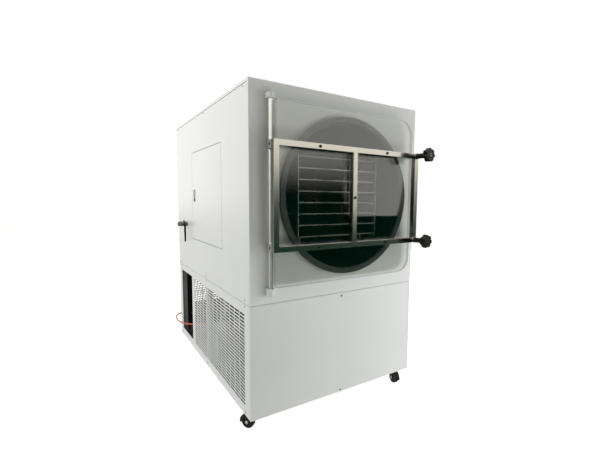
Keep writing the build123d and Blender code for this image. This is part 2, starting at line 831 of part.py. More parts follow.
with BuildPart() as door_frame:
    with BuildSketch(at_y(front - plate_front)):
        with Locations(frame_middle):
            Rectangle(frame_width, frame_height)
            with GridLocations(2 * window_offset, 1, 2, 1):
                Rectangle(window_width_each, frame_height - 2 * frame_tube, mode=Mode.SUBTRACT)
        with Locations(*door_screw_points):
            Circle(door_screw / 2 + screw_clearance, mode=Mode.SUBTRACT)
        with Locations(*latch_points.values()):
            Circle(stud_diameter / 2 + stud_play, mode=Mode.SUBTRACT)
    extrude(amount=frame_tube)
    with BuildSketch(at_y(front - plate_front - frame_wall)):
        with Locations(frame_middle):
            Rectangle(frame_width - 2 * frame_wall, frame_height - 2 * frame_wall)
            with GridLocations(2 * window_offset, 1, 2, 1):
                Rectangle(window_width_each + 2 * frame_wall, frame_height - 2 * frame_tube + 2 * frame_wall,
                          mode=Mode.SUBTRACT)
    extrude(amount=hollow, mode=Mode.SUBTRACT)
    outer_edges = edges().group_by(Axis.Y)[0].filter_by(GeomType.LINE)
    fillet(outer_edges, frame_wall / 2)
door_frame.part.label = "door_frame"
export_step(door_frame.part, "parts/door_frame.step")

block_levels = (frame_z[0], frame_z[1] - block_height)
block_screw_y = shaft_y - block_radius - screw_shank

with BuildPart() as hinge_blocks:
    for low in block_levels:
        block((frame_x[0], frame_x[0] + 2 * block_radius), (front - plate_front, shaft_y),
              (low, low + block_height))
        rod((shaft_x, shaft_y, low), (shaft_x, shaft_y, low + block_height), block_radius)
        rod((shaft_x, shaft_y, low), (shaft_x, shaft_y, low + block_height),
            shaft_diameter / 2 + running, mode=Mode.SUBTRACT)
hinge_blocks.part.label = "hinge_blocks"
export_step(hinge_blocks.part, "parts/hinge_blocks.step")

bracket_ranges = (
    (door_z[0] - bracket_gap - bracket_bottom, door_z[0] - bracket_gap),
    (door_z[1] + bracket_gap, door_z[1] + bracket_gap + bracket_top),
)

with BuildPart() as hinge_brackets:
    for low, high in bracket_ranges:
        block((shaft_x - bracket_radius, shaft_x + bracket_radius), (shaft_y, front), (low, high))
        rod((shaft_x, shaft_y, low), (shaft_x, shaft_y, high), bracket_radius)
    rod((shaft_x, shaft_y, bracket_ranges[0][0] + bracket_top / 2),
        (shaft_x, shaft_y, bracket_ranges[1][1]), shaft_diameter / 2 + running, mode=Mode.SUBTRACT)
hinge_brackets.part.label = "hinge_brackets"
export_step(hinge_brackets.part, "parts/hinge_brackets.step")

with BuildPart() as hinge_shaft:
    rod((shaft_x, shaft_y, bracket_ranges[0][0] + bracket_top / 2),
        (shaft_x, shaft_y, bracket_ranges[1][1]), shaft_diameter / 2)
    chamfer(edges().filter_by(GeomType.CIRCLE), shaft_chamfer)
hinge_shaft.part.label = "hinge_shaft"
export_step(hinge_shaft.part, "parts/hinge_shaft.step")

with BuildPart() as door_screws:
    for x, z in door_screw_points:
        rod((x, front - frame_front - door_screw_proud, z), (x, front - frame_front, z), door_screw_head / 2)
        rod((x, front - frame_front, z), (x, front - plate_front + door_screw_depth - door_screw_end, z),
            door_screw / 2)
        rod((x, front - frame_front - door_screw_proud, z), (x, front - frame_front - socket_floor, z),
            socket_width / 2, mode=Mode.SUBTRACT)
    for low in block_levels:
        z = low + block_height / 2
        rod((frame_x[0] - screw_proud, block_screw_y, z), (frame_x[0], block_screw_y, z), screw_head / 2)
door_screws.part.label = "door_screws"
export_step(door_screws.part, "parts/door_screws.step")

lobe_circle = knob_diameter / 2 - lobe_radius
frame_face = front - frame_front
washer_face = front - washer_front
head_back = washer_face - knob_neck
head_face = head_back - knob_head
boss_end = front - plate_front + boss_gap
stud_end = boss_end + thread_engaged

for place, (x, z) in latch_points.items():
    with BuildPart() as knob_washer:
        rod((x, washer_face, z), (x, frame_face, z), washer_diameter / 2)
        rod((x, washer_face, z), (x, frame_face, z), stud_diameter / 2 + stud_play, mode=Mode.SUBTRACT)
    knob_washer.part.label = f"knob_washer_{place}"
    export_step(knob_washer.part, f"parts/{knob_washer.part.label}.step")

    with BuildPart() as knob:
        with BuildSketch(at_y(head_back)):
            with Locations((x, z)):
                Circle(lobe_circle)
                with PolarLocations(lobe_circle, knob_lobes):
                    Circle(lobe_radius)
        extrude(amount=knob_head)
        fillet(edges().group_by(Axis.Y)[0], knob_rounding)
        rod((x, washer_face, z), (x, head_back, z), neck_diameter / 2)
        rod((x, washer_face, z), (x, stud_end, z), stud_diameter / 2)
        rod((x, head_face, z), (x, head_face + knob_insert_depth, z), knob_insert / 2,
            mode=Mode.SUBTRACT)
    knob.part.label = f"knob_{place}"
    export_step(knob.part, f"parts/{knob.part.label}.step")

with BuildPart() as latch_bosses:
    for x, z in latch_points.values():
        rod((x, front, z), (x, boss_end, z), boss_diameter / 2)
        rod((x, stud_end + thread_runout, z), (x, boss_end, z), stud_diameter / 2 + boss_play,
            mode=Mode.SUBTRACT)
latch_bosses.part.label = "latch_bosses"
export_step(latch_bosses.part, "parts/latch_bosses.step")

# ---------------------------------------------------------------- side hatch
pivot = (left + hatch_pin_x, hatch_y[0] + hatch_pin_y)
lock_y = hatch_y[1] - lock_inset
lock_z = sum(hatch_z) / 2 + lock_rise
case_size = (lock_width - 2 * lock_rim, lock_height - 2 * lock_rim)
pocket_size = (case_size[0] - 2 * lock_wall, case_size[1] - 2 * lock_wall)

with BuildPart() as hatch_door:
    block((left, left + hatch_fold), hatch_y, hatch_z)
    block((left + sheet, left + hatch_fold), (hatch_y[0] + sheet, hatch_y[1] - sheet),
          (hatch_z[0] + sheet, hatch_z[1] - sheet), mode=Mode.SUBTRACT)
    rod((*pivot, hatch_z[0]), (*pivot, hatch_z[1]), hatch_pin / 2 + running, mode=Mode.SUBTRACT)
    block((left, left + sheet), around(lock_y, case_size[0] + 2 * paddle_play),
          around(lock_z, case_size[1] + 2 * paddle_play), mode=Mode.SUBTRACT)
hatch_door.part.label = "hatch_door"
export_step(hatch_door.part, "parts/hatch_door.step")

with BuildPart() as hatch_pins:
    for edge, away in ((hatch_z[0], -1), (hatch_z[1], 1)):
        opening = edge + away * hatch_gap
        lug_face = opening + away * panel_gap
        block((left + sheet, left + hatch_fold), around(pivot[1], hatch_lug),
              (lug_face, lug_face + away * hatch_lug_sheet))
        block((left + sheet, left + 2 * sheet), around(pivot[1], hatch_lug),
              (lug_face, lug_face + away * hatch_lug))
        rod((*pivot, edge - away * hatch_pin_engaged), (*pivot, lug_face + away * hatch_lug_sheet),
            hatch_pin / 2)
hatch_pins.part.label = "hatch_pins"
export_step(hatch_pins.part, "parts/hatch_pins.step")

pocket_y = around(lock_y, pocket_size[0])
pocket_z = around(lock_z, pocket_size[1])
paddle_axis = (left + paddle_inset, pocket_z[1] - paddle_inset)

with BuildPart() as lock_case:
    with BuildSketch(at_x(left - lock_flange)):
        with Locations((lock_y, lock_z)):
            RectangleRounded(lock_width, lock_height, 2 * lock_rim)
    extrude(amount=lock_flange)
    block((left, left + lock_depth), around(lock_y, case_size[0]), around(lock_z, case_size[1]))
    block((left - lock_flange, left + lock_depth - lock_wall), pocket_y, pocket_z, mode=Mode.SUBTRACT)
    rod((paddle_axis[0], pocket_y[0], paddle_axis[1]), (paddle_axis[0], pocket_y[1], paddle_axis[1]),
        paddle_pin / 2)
lock_case.part.label = "lock_case"
export_step(lock_case.part, "parts/lock_case.step")

with BuildPart() as lock_paddle:
    paddle_y = (pocket_y[0] + paddle_play, pocket_y[1] - paddle_play)
    block((left, left + paddle_thickness), paddle_y, (paddle_axis[1] - paddle_length, paddle_axis[1]))
    rod((paddle_axis[0], paddle_y[0], paddle_axis[1]), (paddle_axis[0], paddle_y[1], paddle_axis[1]),
        paddle_barrel / 2)
    rod((paddle_axis[0], paddle_y[0], paddle_axis[1]), (paddle_axis[0], paddle_y[1], paddle_axis[1]),
        paddle_pin / 2 + running, mode=Mode.SUBTRACT)
lock_paddle.part.label = "lock_paddle"
export_step(lock_paddle.part, "parts/lock_paddle.step")

# ---------------------------------------------------------------- release valve
stem_x = left - stem_from_panel
boss_face = valve_y - valve_diameter / 2 - valve_boss
lever_y = (boss_face - panel_gap - lever_thickness, boss_face - panel_gap)
mouth_x = left - valve_reach

with BuildPart() as vent_valve:
    rod((mouth_x, valve_y, valve_z), (vent_end, valve_y, valve_z), valve_diameter / 2)
    fillet(edges().group_by(Axis.X)[0], valve_rounding)
    rod((stem_x, valve_y, valve_z), (stem_x, boss_face, valve_z), stem_boss_radius)
    rod((stem_x, valve_y, valve_z), (stem_x, lever_y[0] - stem_radius, valve_z), stem_radius)
    rod((stem_x, valve_y, valve_z), (stem_x, valve_y, valve_z + valve_diameter / 2 + valve_boss),
        stem_radius + 1)
    rod((mouth_x, valve_y, valve_z), (vent_end, valve_y, valve_z), vent_bore / 2, mode=Mode.SUBTRACT)
    rod((mouth_x, valve_y, valve_z), (mouth_x + valve_mouth_depth, valve_y, valve_z), valve_mouth / 2,
        mode=Mode.SUBTRACT)
vent_valve.part.label = "vent_valve"
export_step(vent_valve.part, "parts/vent_valve.step")

with BuildPart() as vent_lever:
    rod((stem_x, lever_y[0], valve_z), (stem_x, lever_y[1], valve_z), stem_boss_radius + 1)
    with BuildSketch(at_y(lever_y[1])):
        with BuildLine():
            Polyline(
                (stem_x - lever_width / 2, valve_z),
                (stem_x - lever_width / 3, valve_z - lever_length),
                (stem_x + lever_width / 3, valve_z - lever_length),
                (stem_x + lever_width / 2, valve_z),
                close=True,
            )
        make_face()
    extrude(amount=lever_thickness)
    fillet(edges().filter_by(Axis.Y).group_by(Axis.Z)[0], lever_width / 4)
    rod((stem_x, lever_y[0], valve_z), (stem_x, lever_y[1], valve_z), stem_radius + running,
        mode=Mode.SUBTRACT)
vent_lever.part.label = "vent_lever"
export_step(vent_lever.part, "parts/vent_lever.step")

# ---------------------------------------------------------------- machine room
compressor_x = right - compressor_from_right
compressor_y = front + compressor_from_front
shell_low = pan_top + compressor_foot
shell_high = shell_low + compressor_height

with BuildPart() as compressor:
    with BuildSketch(Plane.XZ.offset(-compressor_y)):
        with BuildLine():
            Polyline(
                (compressor_x, shell_low),
                (compressor_x + compressor_radius - compressor_chine, shell_low),
                (compressor_x + compressor_radius, shell_low + compressor_chine),
                (compressor_x + compressor_radius, shell_high - compressor_dome),
                (compressor_x + compressor_radius - compressor_chine, shell_high - compressor_chine / 3),
                (compressor_x, shell_high),
                close=True,
            )
        make_face()
    revolve(axis=Axis((compressor_x, compressor_y, 0), (0, 0, 1)))
    with Locations((compressor_x, compressor_y, shell_low - mount_bar[2] / 6)):
        Box(*mount_bar)
    with BuildSketch(at_z(pan_top)):
        with Locations((compressor_x, compressor_y)):
            with GridLocations(*mount_grid, 2, 2):
                Circle(grommet_radius)
    extrude(amount=compressor_foot)
    box_middle = compressor_x - compressor_radius + terminal_sunk - terminal_box[0] / 2
    with Locations((box_middle, compressor_y, shell_low + terminal_low + terminal_box[2] / 2)):
        Box(*terminal_box)
compressor.part.label = "compressor"
export_step(compressor.part, "parts/compressor.step")

condenser_rear = right - condenser_from_right
condenser_x = (condenser_rear - condenser_thickness, condenser_rear)
condenser_y = around(front + condenser_middle_y, condenser_width)
condenser_z = (pan_top, pan_top + condenser_height)
fan_y = sum(condenser_y) / 2
fan_z = sum(condenser_z) / 2
condenser_middle = sum(condenser_x) / 2
fins = int((condenser_width - 2 * condenser_rim) // fin_pitch)

with BuildPart() as condenser:
    block(condenser_x, condenser_y, condenser_z)
    with Locations((condenser_middle, fan_y, fan_z)):
        with GridLocations(1, fin_pitch, 1, fins):
            Box(condenser_thickness, fin_pitch - fin, condenser_height - 2 * condenser_rim,
                mode=Mode.SUBTRACT)
    for row in range(condenser_rows):
        z = condenser_z[0] + condenser_row_low + row * condenser_row_pitch
        rod((condenser_middle, condenser_y[0], z), (condenser_middle, condenser_y[1], z),
            condenser_tube / 2)
condenser.part.label = "condenser"
export_step(condenser.part, "parts/condenser.step")

shroud_x = (condenser_x[0] - shroud_depth, condenser_x[0])
hub_x = shroud_x[0] + hub_behind_shroud
motor_face = hub_x - motor_gap
spoke_x = shroud_x[0] - spoke_sunk
spoke_reach = fan_radius + fan_play + spoke_overlap

with BuildPart() as fan_shroud:
    block(shroud_x, condenser_y, condenser_z)
    block((shroud_x[0] + shroud_sheet, shroud_x[1]), around(fan_y, condenser_width - 2 * shroud_sheet),
          around(fan_z, condenser_height - 2 * shroud_sheet), mode=Mode.SUBTRACT)
    rod((shroud_x[0], fan_y, fan_z), (shroud_x[0] + shroud_sheet, fan_y, fan_z), fan_radius + fan_play,
        mode=Mode.SUBTRACT)
    for angle in spoke_angles:
        tip = (fan_y + spoke_reach * cos(radians(angle)), fan_z + spoke_reach * sin(radians(angle)))
        rod((spoke_x, fan_y, fan_z), (spoke_x, *tip), shroud_spoke)
    rod((motor_face - motor_length, fan_y, fan_z), (motor_face, fan_y, fan_z), motor_radius)
    rod((motor_face, fan_y, fan_z), (hub_x + hub_length - shaft_short, fan_y, fan_z), motor_shaft / 2)
fan_shroud.part.label = "fan_shroud"
export_step(fan_shroud.part, "parts/fan_shroud.step")

blade_inner = hub_radius - blade_root

with BuildPart() as fan_blades:
    rod((hub_x, fan_y, fan_z), (hub_x + hub_length, fan_y, fan_z), hub_radius)
    for blade in range(fan_blades_count):
        turn = radians(360 / fan_blades_count * blade)
        pitch = radians(fan_pitch_angle)
        along = (0, cos(turn), sin(turn))
        normal = (cos(pitch), -sin(turn) * sin(pitch), cos(turn) * sin(pitch))
        with BuildSketch(Plane(origin=(hub_x + hub_length / 2, fan_y, fan_z), x_dir=along, z_dir=normal)):
            with Locations(((blade_inner + fan_radius) / 2, 0)):
                RectangleRounded(fan_radius - blade_inner, blade_chord, blade_rounding)
        extrude(amount=blade_thickness / 2, both=True)
    rod((hub_x, fan_y, fan_z), (hub_x + hub_length - shaft_short + motor_gap, fan_y, fan_z),
        motor_shaft / 2 + running, mode=Mode.SUBTRACT)
fan_blades.part.label = "fan_blades"
export_step(fan_blades.part, "parts/fan_blades.step")

pump_waist_low = pan_top + pump_rail + pump_lower
pump_waist_high = pump_waist_low + pump_waist
pump_axis_z = pan_top + pump_motor_axis

with BuildPart() as vacuum_pump:
    block((pump_x[0] - pump_rail_overhang, pump_motor_x), pump_y, (pan_top, pan_top + pump_rail))
    block(pump_x, pump_y, (pan_top + pump_rail, pump_waist_low))
    block(around(pump_middle[0], pump_waist_side), around(pump_middle[1], pump_waist_side),
          (pump_waist_low, pump_waist_high))
    block(pump_x, pump_y, (pump_waist_high, pump_top))
    rod((pump_x[1], pump_middle[1], pump_axis_z), (pump_motor_x, pump_middle[1], pump_axis_z),
        pump_motor_radius)
    block((pump_x[1] + pump_saddle_inset, pump_motor_x - pump_saddle_inset),
          around(pump_middle[1], pump_saddle[0]), (pan_top + pump_rail, pan_top + pump_rail + pump_saddle[1]))
    rod((*pump_middle, pump_top), (*pump_middle, intake_z), suction_tube / 2)
    rod((*pump_middle, intake_z - suction_flange_thickness), (*pump_middle, intake_z), suction_flange / 2)
vacuum_pump.part.label = "vacuum_pump"
export_step(vacuum_pump.part, "parts/vacuum_pump.step")

control_x = (left + control_from_face, left + control_from_face + control_depth)
control_y = (hatch_y[0] + control_side, hatch_y[1] - control_side)
plate_x = (control_x[0] + control_plate, control_x[0] + 2 * control_plate)

with BuildPart() as control_box:
    block(control_x, control_y, (hatch_z[0] + control_end, hatch_z[1] - control_end))
    fillet(edges().filter_by(Axis.X), control_rounding)
    block(plate_x, control_y, (seam, hatch_z[0] + control_plate_overlap))
control_box.part.label = "control_box"
export_step(control_box.part, "parts/control_box.step")

body_inset = 2 * (inlet_flange + inlet_play)

with BuildPart() as mains_inlet:
    with BuildSketch(at_y(rear + inlet_flange)):
        with Locations(inlet_middle):
            RectangleRounded(inlet_width, inlet_height, inlet_flange)
    extrude(amount=inlet_flange)
    with BuildSketch(at_y(rear)):
        with Locations(inlet_middle):
            Rectangle(inlet_width - body_inset, inlet_height - body_inset)
    extrude(amount=inlet_depth)
    with BuildSketch(at_y(rear + inlet_flange)):
        with Locations(inlet_middle):
            RectangleRounded(inlet_well[0], inlet_well[1], inlet_flange)
    extrude(amount=inlet_well[2], mode=Mode.SUBTRACT)
    for step in (-1, 0, 1):
        block(around(inlet_middle[0] + step * inlet_pin_pitch, inlet_pin[0]), (rear - inlet_pin[2], rear),
              around(inlet_middle[1], inlet_pin[1]))
mains_inlet.part.label = "mains_inlet"
export_step(mains_inlet.part, "parts/mains_inlet.step")

# ---------------------------------------------------------------- red hose
elbow_x = left + fitting_x
elbow_y = rear + fitting_stand
elbow_z = floor + fitting_z
pump_port = (left + hose_route[0][0], front + hose_route[0][1], floor + hose_route[0][2])
hose_end = (left + hose_route[-1][0], elbow_y, elbow_z)
pump_face = pump_y[1]

with BuildPart() as hose_fittings:
    rod((pump_port[0], pump_face, pump_port[2]),
        (pump_port[0], pump_face + fitting_flange_thickness, pump_port[2]), fitting_flange)
    rod((pump_port[0], pump_face, pump_port[2]), pump_port, sleeve)
    rod((elbow_x, rear - sheet - thread_inside, elbow_z), (elbow_x, elbow_y, elbow_z), rear_thread / 2)
    rod((elbow_x, rear, elbow_z), (elbow_x, rear + fitting_flange_thickness, elbow_z), fitting_flange)
    rod((elbow_x, rear - sheet - fitting_flange_thickness, elbow_z), (elbow_x, rear - sheet, elbow_z),
        fitting_flange)
    rod((elbow_x, elbow_y - elbow_length, elbow_z), (elbow_x, elbow_y + fitting_radius, elbow_z),
        fitting_radius)
    rod(hose_end, (elbow_x, elbow_y, elbow_z), sleeve)
hose_fittings.part.label = "hose_fittings"
export_step(hose_fittings.part, "parts/hose_fittings.step")

hose_points = [Vector(left + x, front + y, floor + z) for x, y, z in hose_route]
hose_radii = []
for before, here, after in zip(hose_points, hose_points[1:], hose_points[2:]):
    incoming = here - before
    outgoing = after - here
    half_turn = radians(incoming.get_angle(outgoing)) / 2
    hose_radii.append(0.45 * min(incoming.length, outgoing.length) / tan(half_turn))

with BuildPart() as red_hose:
    with BuildLine() as hose_path:
        FilletPolyline(*hose_points, radius=hose_radii)
    with BuildSketch(Plane(origin=hose_points[0], z_dir=hose_points[1] - hose_points[0])):
        Circle(hose_diameter / 2)
    sweep(path=hose_path.line)
red_hose.part.label = "red_hose"
export_step(red_hose.part, "parts/red_hose.step")
hose_length = hose_path.wire().length
hose_section = pi * (hose_diameter / 2) ** 2
print("hose length", round(hose_length, 1), "by volume", round(red_hose.part.volume / hose_section, 1))

# ---------------------------------------------------------------- castors
swivels = {
    "front_left": (left + caster_inset_x, front + caster_inset_y),
    "front_right": (right - caster_inset_x, front + caster_inset_y),
    "rear_left": (left + caster_inset_x, rear - caster_inset_y),
    "rear_right": (right - caster_inset_x, rear - caster_inset_y),
}
wheel_radius = wheel_diameter / 2
crown_low = wheel_diameter + crown_gap
crown_high = crown_low + crown_thickness
plate_low = floor - plate_thickness
cheek_inner = wheel_width / 2 + wheel_gap
cheek_outer = cheek_inner + cheek
axle_end = cheek_outer + axle_head_length
crown_tail = crown_length - swivel_radius
washer_low = crown_low - crown_thickness

with BuildPart() as caster_plates:
    with BuildSketch(at_z(plate_low)):
        with Locations(*swivels.values()):
            RectangleRounded(plate_size, plate_size, plate_rounding)
    extrude(amount=plate_thickness)
    with BuildSketch(at_z(washer_low)):
        with Locations(*swivels.values()):
            Circle(kingpin_diameter / 2)
    extrude(amount=plate_low - washer_low)
    with BuildSketch(at_z(washer_low)):
        with Locations(*swivels.values()):
            Circle(kingpin_diameter / 2 + kingpin_flange)
    extrude(amount=crown_thickness - panel_gap)
caster_plates.part.label = "caster_plates"
export_step(caster_plates.part, "parts/caster_plates.step")

for place, (x, y) in swivels.items():
    turned = radians(caster_turns[place])
    axle_direction = Vector(cos(turned), -sin(turned), 0)
    ahead = Vector(sin(turned), cos(turned), 0)
    swivel = Vector(x, y, 0)
    wheel_axis = swivel - ahead * wheel_trail + Vector(0, 0, wheel_radius)

    with BuildPart() as caster_fork:
        with BuildSketch(Plane(origin=swivel + Vector(0, 0, crown_low), x_dir=axle_direction)):
            with Locations((0, swivel_radius - crown_length / 2)):
                RectangleRounded(2 * cheek_outer, crown_length, crown_rounding)
            Circle(swivel_radius)
        extrude(amount=crown_thickness)
        rod(tuple(swivel + Vector(0, 0, crown_high)), (x, y, plate_low - panel_gap), swivel_radius)
        for side in (-1, 1):
            cheek_middle = swivel + axle_direction * side * (cheek_inner + cheek / 2)
            with BuildSketch(Plane(origin=cheek_middle, x_dir=-ahead, z_dir=-axle_direction)):
                with BuildLine():
                    Polyline(
                        (-cheek_front, crown_high),
                        (-cheek_front, washer_low),
                        (wheel_trail - cheek_boss, wheel_radius - cheek),
                        (wheel_trail, wheel_radius - cheek_boss),
                        (wheel_trail + cheek_boss, wheel_radius - cheek),
                        (crown_tail, washer_low),
                        (crown_tail, crown_high),
                        close=True,
                    )
                make_face()
                with Locations((wheel_trail, wheel_radius)):
                    Circle(axle_diameter / 2 + axle_play, mode=Mode.SUBTRACT)
            extrude(amount=cheek / 2, both=True)
        rod((x, y, crown_low), (x, y, plate_low), kingpin_diameter / 2 + running, mode=Mode.SUBTRACT)
    caster_fork.part.label = f"caster_fork_{place}"
    export_step(caster_fork.part, f"parts/{caster_fork.part.label}.step")

    with BuildPart() as caster_wheel:
        half = axle_direction * (wheel_width / 2)
        rod(tuple(wheel_axis - half), tuple(wheel_axis + half), wheel_radius)
        fillet(edges().filter_by(GeomType.CIRCLE), tread_rounding)
        rod(tuple(wheel_axis - half), tuple(wheel_axis + half), axle_diameter / 2 + running,
            mode=Mode.SUBTRACT)
    caster_wheel.part.label = f"caster_wheel_{place}"
    export_step(caster_wheel.part, f"parts/{caster_wheel.part.label}.step")

    with BuildPart() as caster_axle:
        rod(tuple(wheel_axis - axle_direction * axle_end), tuple(wheel_axis + axle_direction * axle_end),
            axle_diameter / 2)
        for side in (-1, 1):
            rod(tuple(wheel_axis + axle_direction * (side * cheek_outer)),
                tuple(wheel_axis + axle_direction * (side * axle_end)), axle_head / 2)
    caster_axle.part.label = f"caster_axle_{place}"
    export_step(caster_axle.part, f"parts/{caster_axle.part.label}.step")
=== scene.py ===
"""Finish and small details of a pilot freeze dryer, laid out as an add-on.

Everything is in metres in the machine's own frame: X to the right, Y to the rear, Z up.
"""

import json
from math import cos, pi, radians, sin

import bmesh
import bpy
import numpy as np
from bpy.props import FloatProperty, FloatVectorProperty, IntProperty, PointerProperty
from mathutils import Matrix, Vector


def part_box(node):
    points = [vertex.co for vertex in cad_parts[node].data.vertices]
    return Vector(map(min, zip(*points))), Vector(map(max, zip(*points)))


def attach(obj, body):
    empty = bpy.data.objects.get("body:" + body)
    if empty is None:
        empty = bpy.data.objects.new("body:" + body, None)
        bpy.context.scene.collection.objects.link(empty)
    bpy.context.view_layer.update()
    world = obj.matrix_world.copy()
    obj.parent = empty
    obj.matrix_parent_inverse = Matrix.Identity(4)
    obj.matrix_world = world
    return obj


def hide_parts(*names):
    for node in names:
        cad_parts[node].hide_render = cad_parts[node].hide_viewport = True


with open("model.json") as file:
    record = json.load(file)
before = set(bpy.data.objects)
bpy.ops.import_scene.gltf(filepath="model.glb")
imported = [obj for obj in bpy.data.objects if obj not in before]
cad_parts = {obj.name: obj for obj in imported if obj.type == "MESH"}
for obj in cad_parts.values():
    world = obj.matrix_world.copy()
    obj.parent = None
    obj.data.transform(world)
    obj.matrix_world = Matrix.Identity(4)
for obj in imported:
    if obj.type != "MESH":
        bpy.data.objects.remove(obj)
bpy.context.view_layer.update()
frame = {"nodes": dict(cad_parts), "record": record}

bl_info = {
    "name": "Freeze dryer finish",
    "version": (1, 0, 0),
    "blender": (4, 5, 0),
    "location": "3D View > Sidebar > Freeze dryer",
    "description": "Surfaces and small details of a pilot freeze dryer",
    "category": "Object",
}

MM = 0.001
MERGE = 1e-6  # points nearer than this are one point
CREASE = radians(32)  # a sharper edge than this is drawn sharp

# ---------------------------------------------------------------- places taken from the frame
FRONT_LOW, FRONT_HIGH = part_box("front_lower_panel")
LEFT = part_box("left_lower_panel")[0].x
RIGHT = FRONT_HIGH.x
FRONT = FRONT_LOW.y
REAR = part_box("rear_lower_panel")[1].y
UNDERSIDE = FRONT_LOW.z


def linear(code):
    """Linear colour of an sRGB hex code."""
    shares = [int(code[i:i + 2], 16) / 255 for i in (1, 3, 5)]
    return tuple(s / 12.92 if s <= 0.04045 else ((s + 0.055) / 1.055) ** 2.4 for s in shares) + (1.0,)


def colour(name, description, code):
    """Colour that a user can change, with its default given as an sRGB hex code."""
    return FloatVectorProperty(name=name, description=description, subtype="COLOR", size=4,
                               min=0.0, max=1.0, default=linear(code))


def shaded(base, share):
    """A colour with each of its channels multiplied by one share."""
    return tuple(c * share for c in base[:3]) + (1.0,)


def length(name, description, millimetres):
    """Length that a user can change, with its default given in millimetres."""
    return FloatProperty(name=name, description=description, unit="LENGTH", default=millimetres * MM)


# ---------------------------------------------------------------- sizes and colours
class DryerColours(bpy.types.PropertyGroup):
    """Colours of the machine's finishes."""

    enamel: colour("Enamel", "Powder coat of the cabinet's sheets", "#E1E3E2")
    enamel_shade: colour("Enamel shade", "Slightly darker drifts in the powder coat", "#D9DBDA")
    # The chamber's colour is far darker than stainless: painted shade for the dark inside of the chamber.
    chamber: colour("Chamber", "Blasted stainless wall of the drying chamber", "#3A3E3B")
    stainless: colour("Stainless", "Rolled stainless sheet of the chamber and rack", "#8E8D87")
    polished: colour("Polished stainless", "Buffed tube of the door frame", "#A9A59C")
    satin: colour("Satin stainless", "Ground shaft and blocks of the door's hinge", "#DAD9D4")
    plate_edge: colour("Plate edge", "Sawn edges of the clear plate", "#A9ADA9")
    # Dark colour of the machine room sheets' inner faces: painted shade for the dark inside of the room.
    machine_room_shade: colour("Foam", "Sound-deadening lining inside the machine room", "#1C1F1D")
    galvanised: colour("Galvanised", "Zinc-coated sheet of the pan and deck", "#A9ADAE")
    acrylic: colour("Acrylic", "Cast clear plate of the door", "#F4F6F3")
    acrylic_shade: colour("Acrylic shade", "Light left under the door's plate", "#E6E8E4")
    rubber: colour("Rubber", "Door gasket", "#3A3C3B")
    tread: colour("Castor tread", "Tyres and hubs of the castors", "#0B0C0C")
    nylon: colour("Nylon", "Moulded knobs and levers", "#0F0F0F")
    black_enamel: colour("Black enamel", "Compressor shell, castor forks and hoods", "#0E0F0F")
    zinc: colour("Zinc", "Plated fasteners and axles", "#9EA1A2")
    nickel: colour("Nickel", "Dark plated valve and lock", "#77756F")
    copper: colour("Copper", "Refrigerant tubes", "#B5714A")
    aluminium: colour("Aluminium", "Fins of the condenser", "#B9BCBE")
    pump: colour("Pump enamel", "Pale enamel of the vacuum pump", "#DDE0DF")
    control: colour("Control box enamel", "Grey enamel of the control box", "#8F9496")
    brass: colour("Brass", "Turned hose fittings", "#B08D52")
    hose: colour("Hose", "Polyurethane hose", "#E0573A")


class DryerSizes(bpy.types.PropertyGroup):
    """Sizes of the details that are added to the frame."""

    knob_lobes: IntProperty(name="Knob lobes", description="Grip lobes round each latch knob",
                            default=7, min=3, max=12)
    hose_diameter: length("Hose", "Outer diameter of the red hose", 8)


# ---------------------------------------------------------------- materials
PAINT_IOR = 1.5  # also that of moulded plastic and polyurethane
ACRYLIC_IOR = 1.49


def add_node(tree, kind, inputs=None, **settings):
    """Adds a node, sets its settings, and gives each named input its value or its link."""
    made = tree.nodes.new(kind)
    for name, value in settings.items():
        setattr(made, name, value)
    for key, value in (inputs or {}).items():
        if isinstance(value, bpy.types.NodeSocket):
            tree.links.new(value, made.inputs[key])
        else:
            made.inputs[key].default_value = value
    return made


def start_material(name):
    """Empty material with its tree and the place of each point on the piece."""
    material = bpy.data.materials.new(f"{name}_finish")
    material.use_nodes = True
    tree = material.node_tree
    tree.nodes.clear()
    return material, tree, add_node(tree, "ShaderNodeTexCoord").outputs["Object"]


def finish_material(tree, shader):
    """Sends a shader to the material's surface."""
    add_node(tree, "ShaderNodeOutputMaterial", {"Surface": shader.outputs[0]})


def enamel(name, top, shade, roughness, grain):
    """Powder coat on sheet steel: a soft gloss, a fine orange peel and faint drifts of shade 350 mm
    wide."""
    material, tree, place = start_material(name)
    drift = add_node(tree, "ShaderNodeTexNoise", {"Vector": place, "Scale": 1 / (350 * MM), "Detail": 3.0})
    tint = add_node(tree, "ShaderNodeMix", {"Factor": drift.outputs["Fac"], "A": top, "B": shade},
                    data_type="RGBA")
    # Orange peel is about 1.5 mm wide, and is drawn at 5 mm or more so that it shows.
    peel = add_node(tree, "ShaderNodeTexNoise", {"Vector": place, "Scale": 1 / grain, "Detail": 2.0})
    gloss = add_node(tree, "ShaderNodeMapRange", {"Value": peel.outputs["Fac"], "To Min": roughness - 0.05,
                                                  "To Max": roughness + 0.07})
    bump = add_node(tree, "ShaderNodeBump", {"Height": peel.outputs["Fac"], "Strength": 0.05,
                                             "Distance": 0.3 * MM})
    shader = add_node(tree, "ShaderNodeBsdfPrincipled",
                      {"Base Color": tint.outputs["Result"], "Roughness": gloss.outputs["Result"],
                       "Normal": bump.outputs["Normal"], "IOR": PAINT_IOR})
    finish_material(tree, shader)
    return material


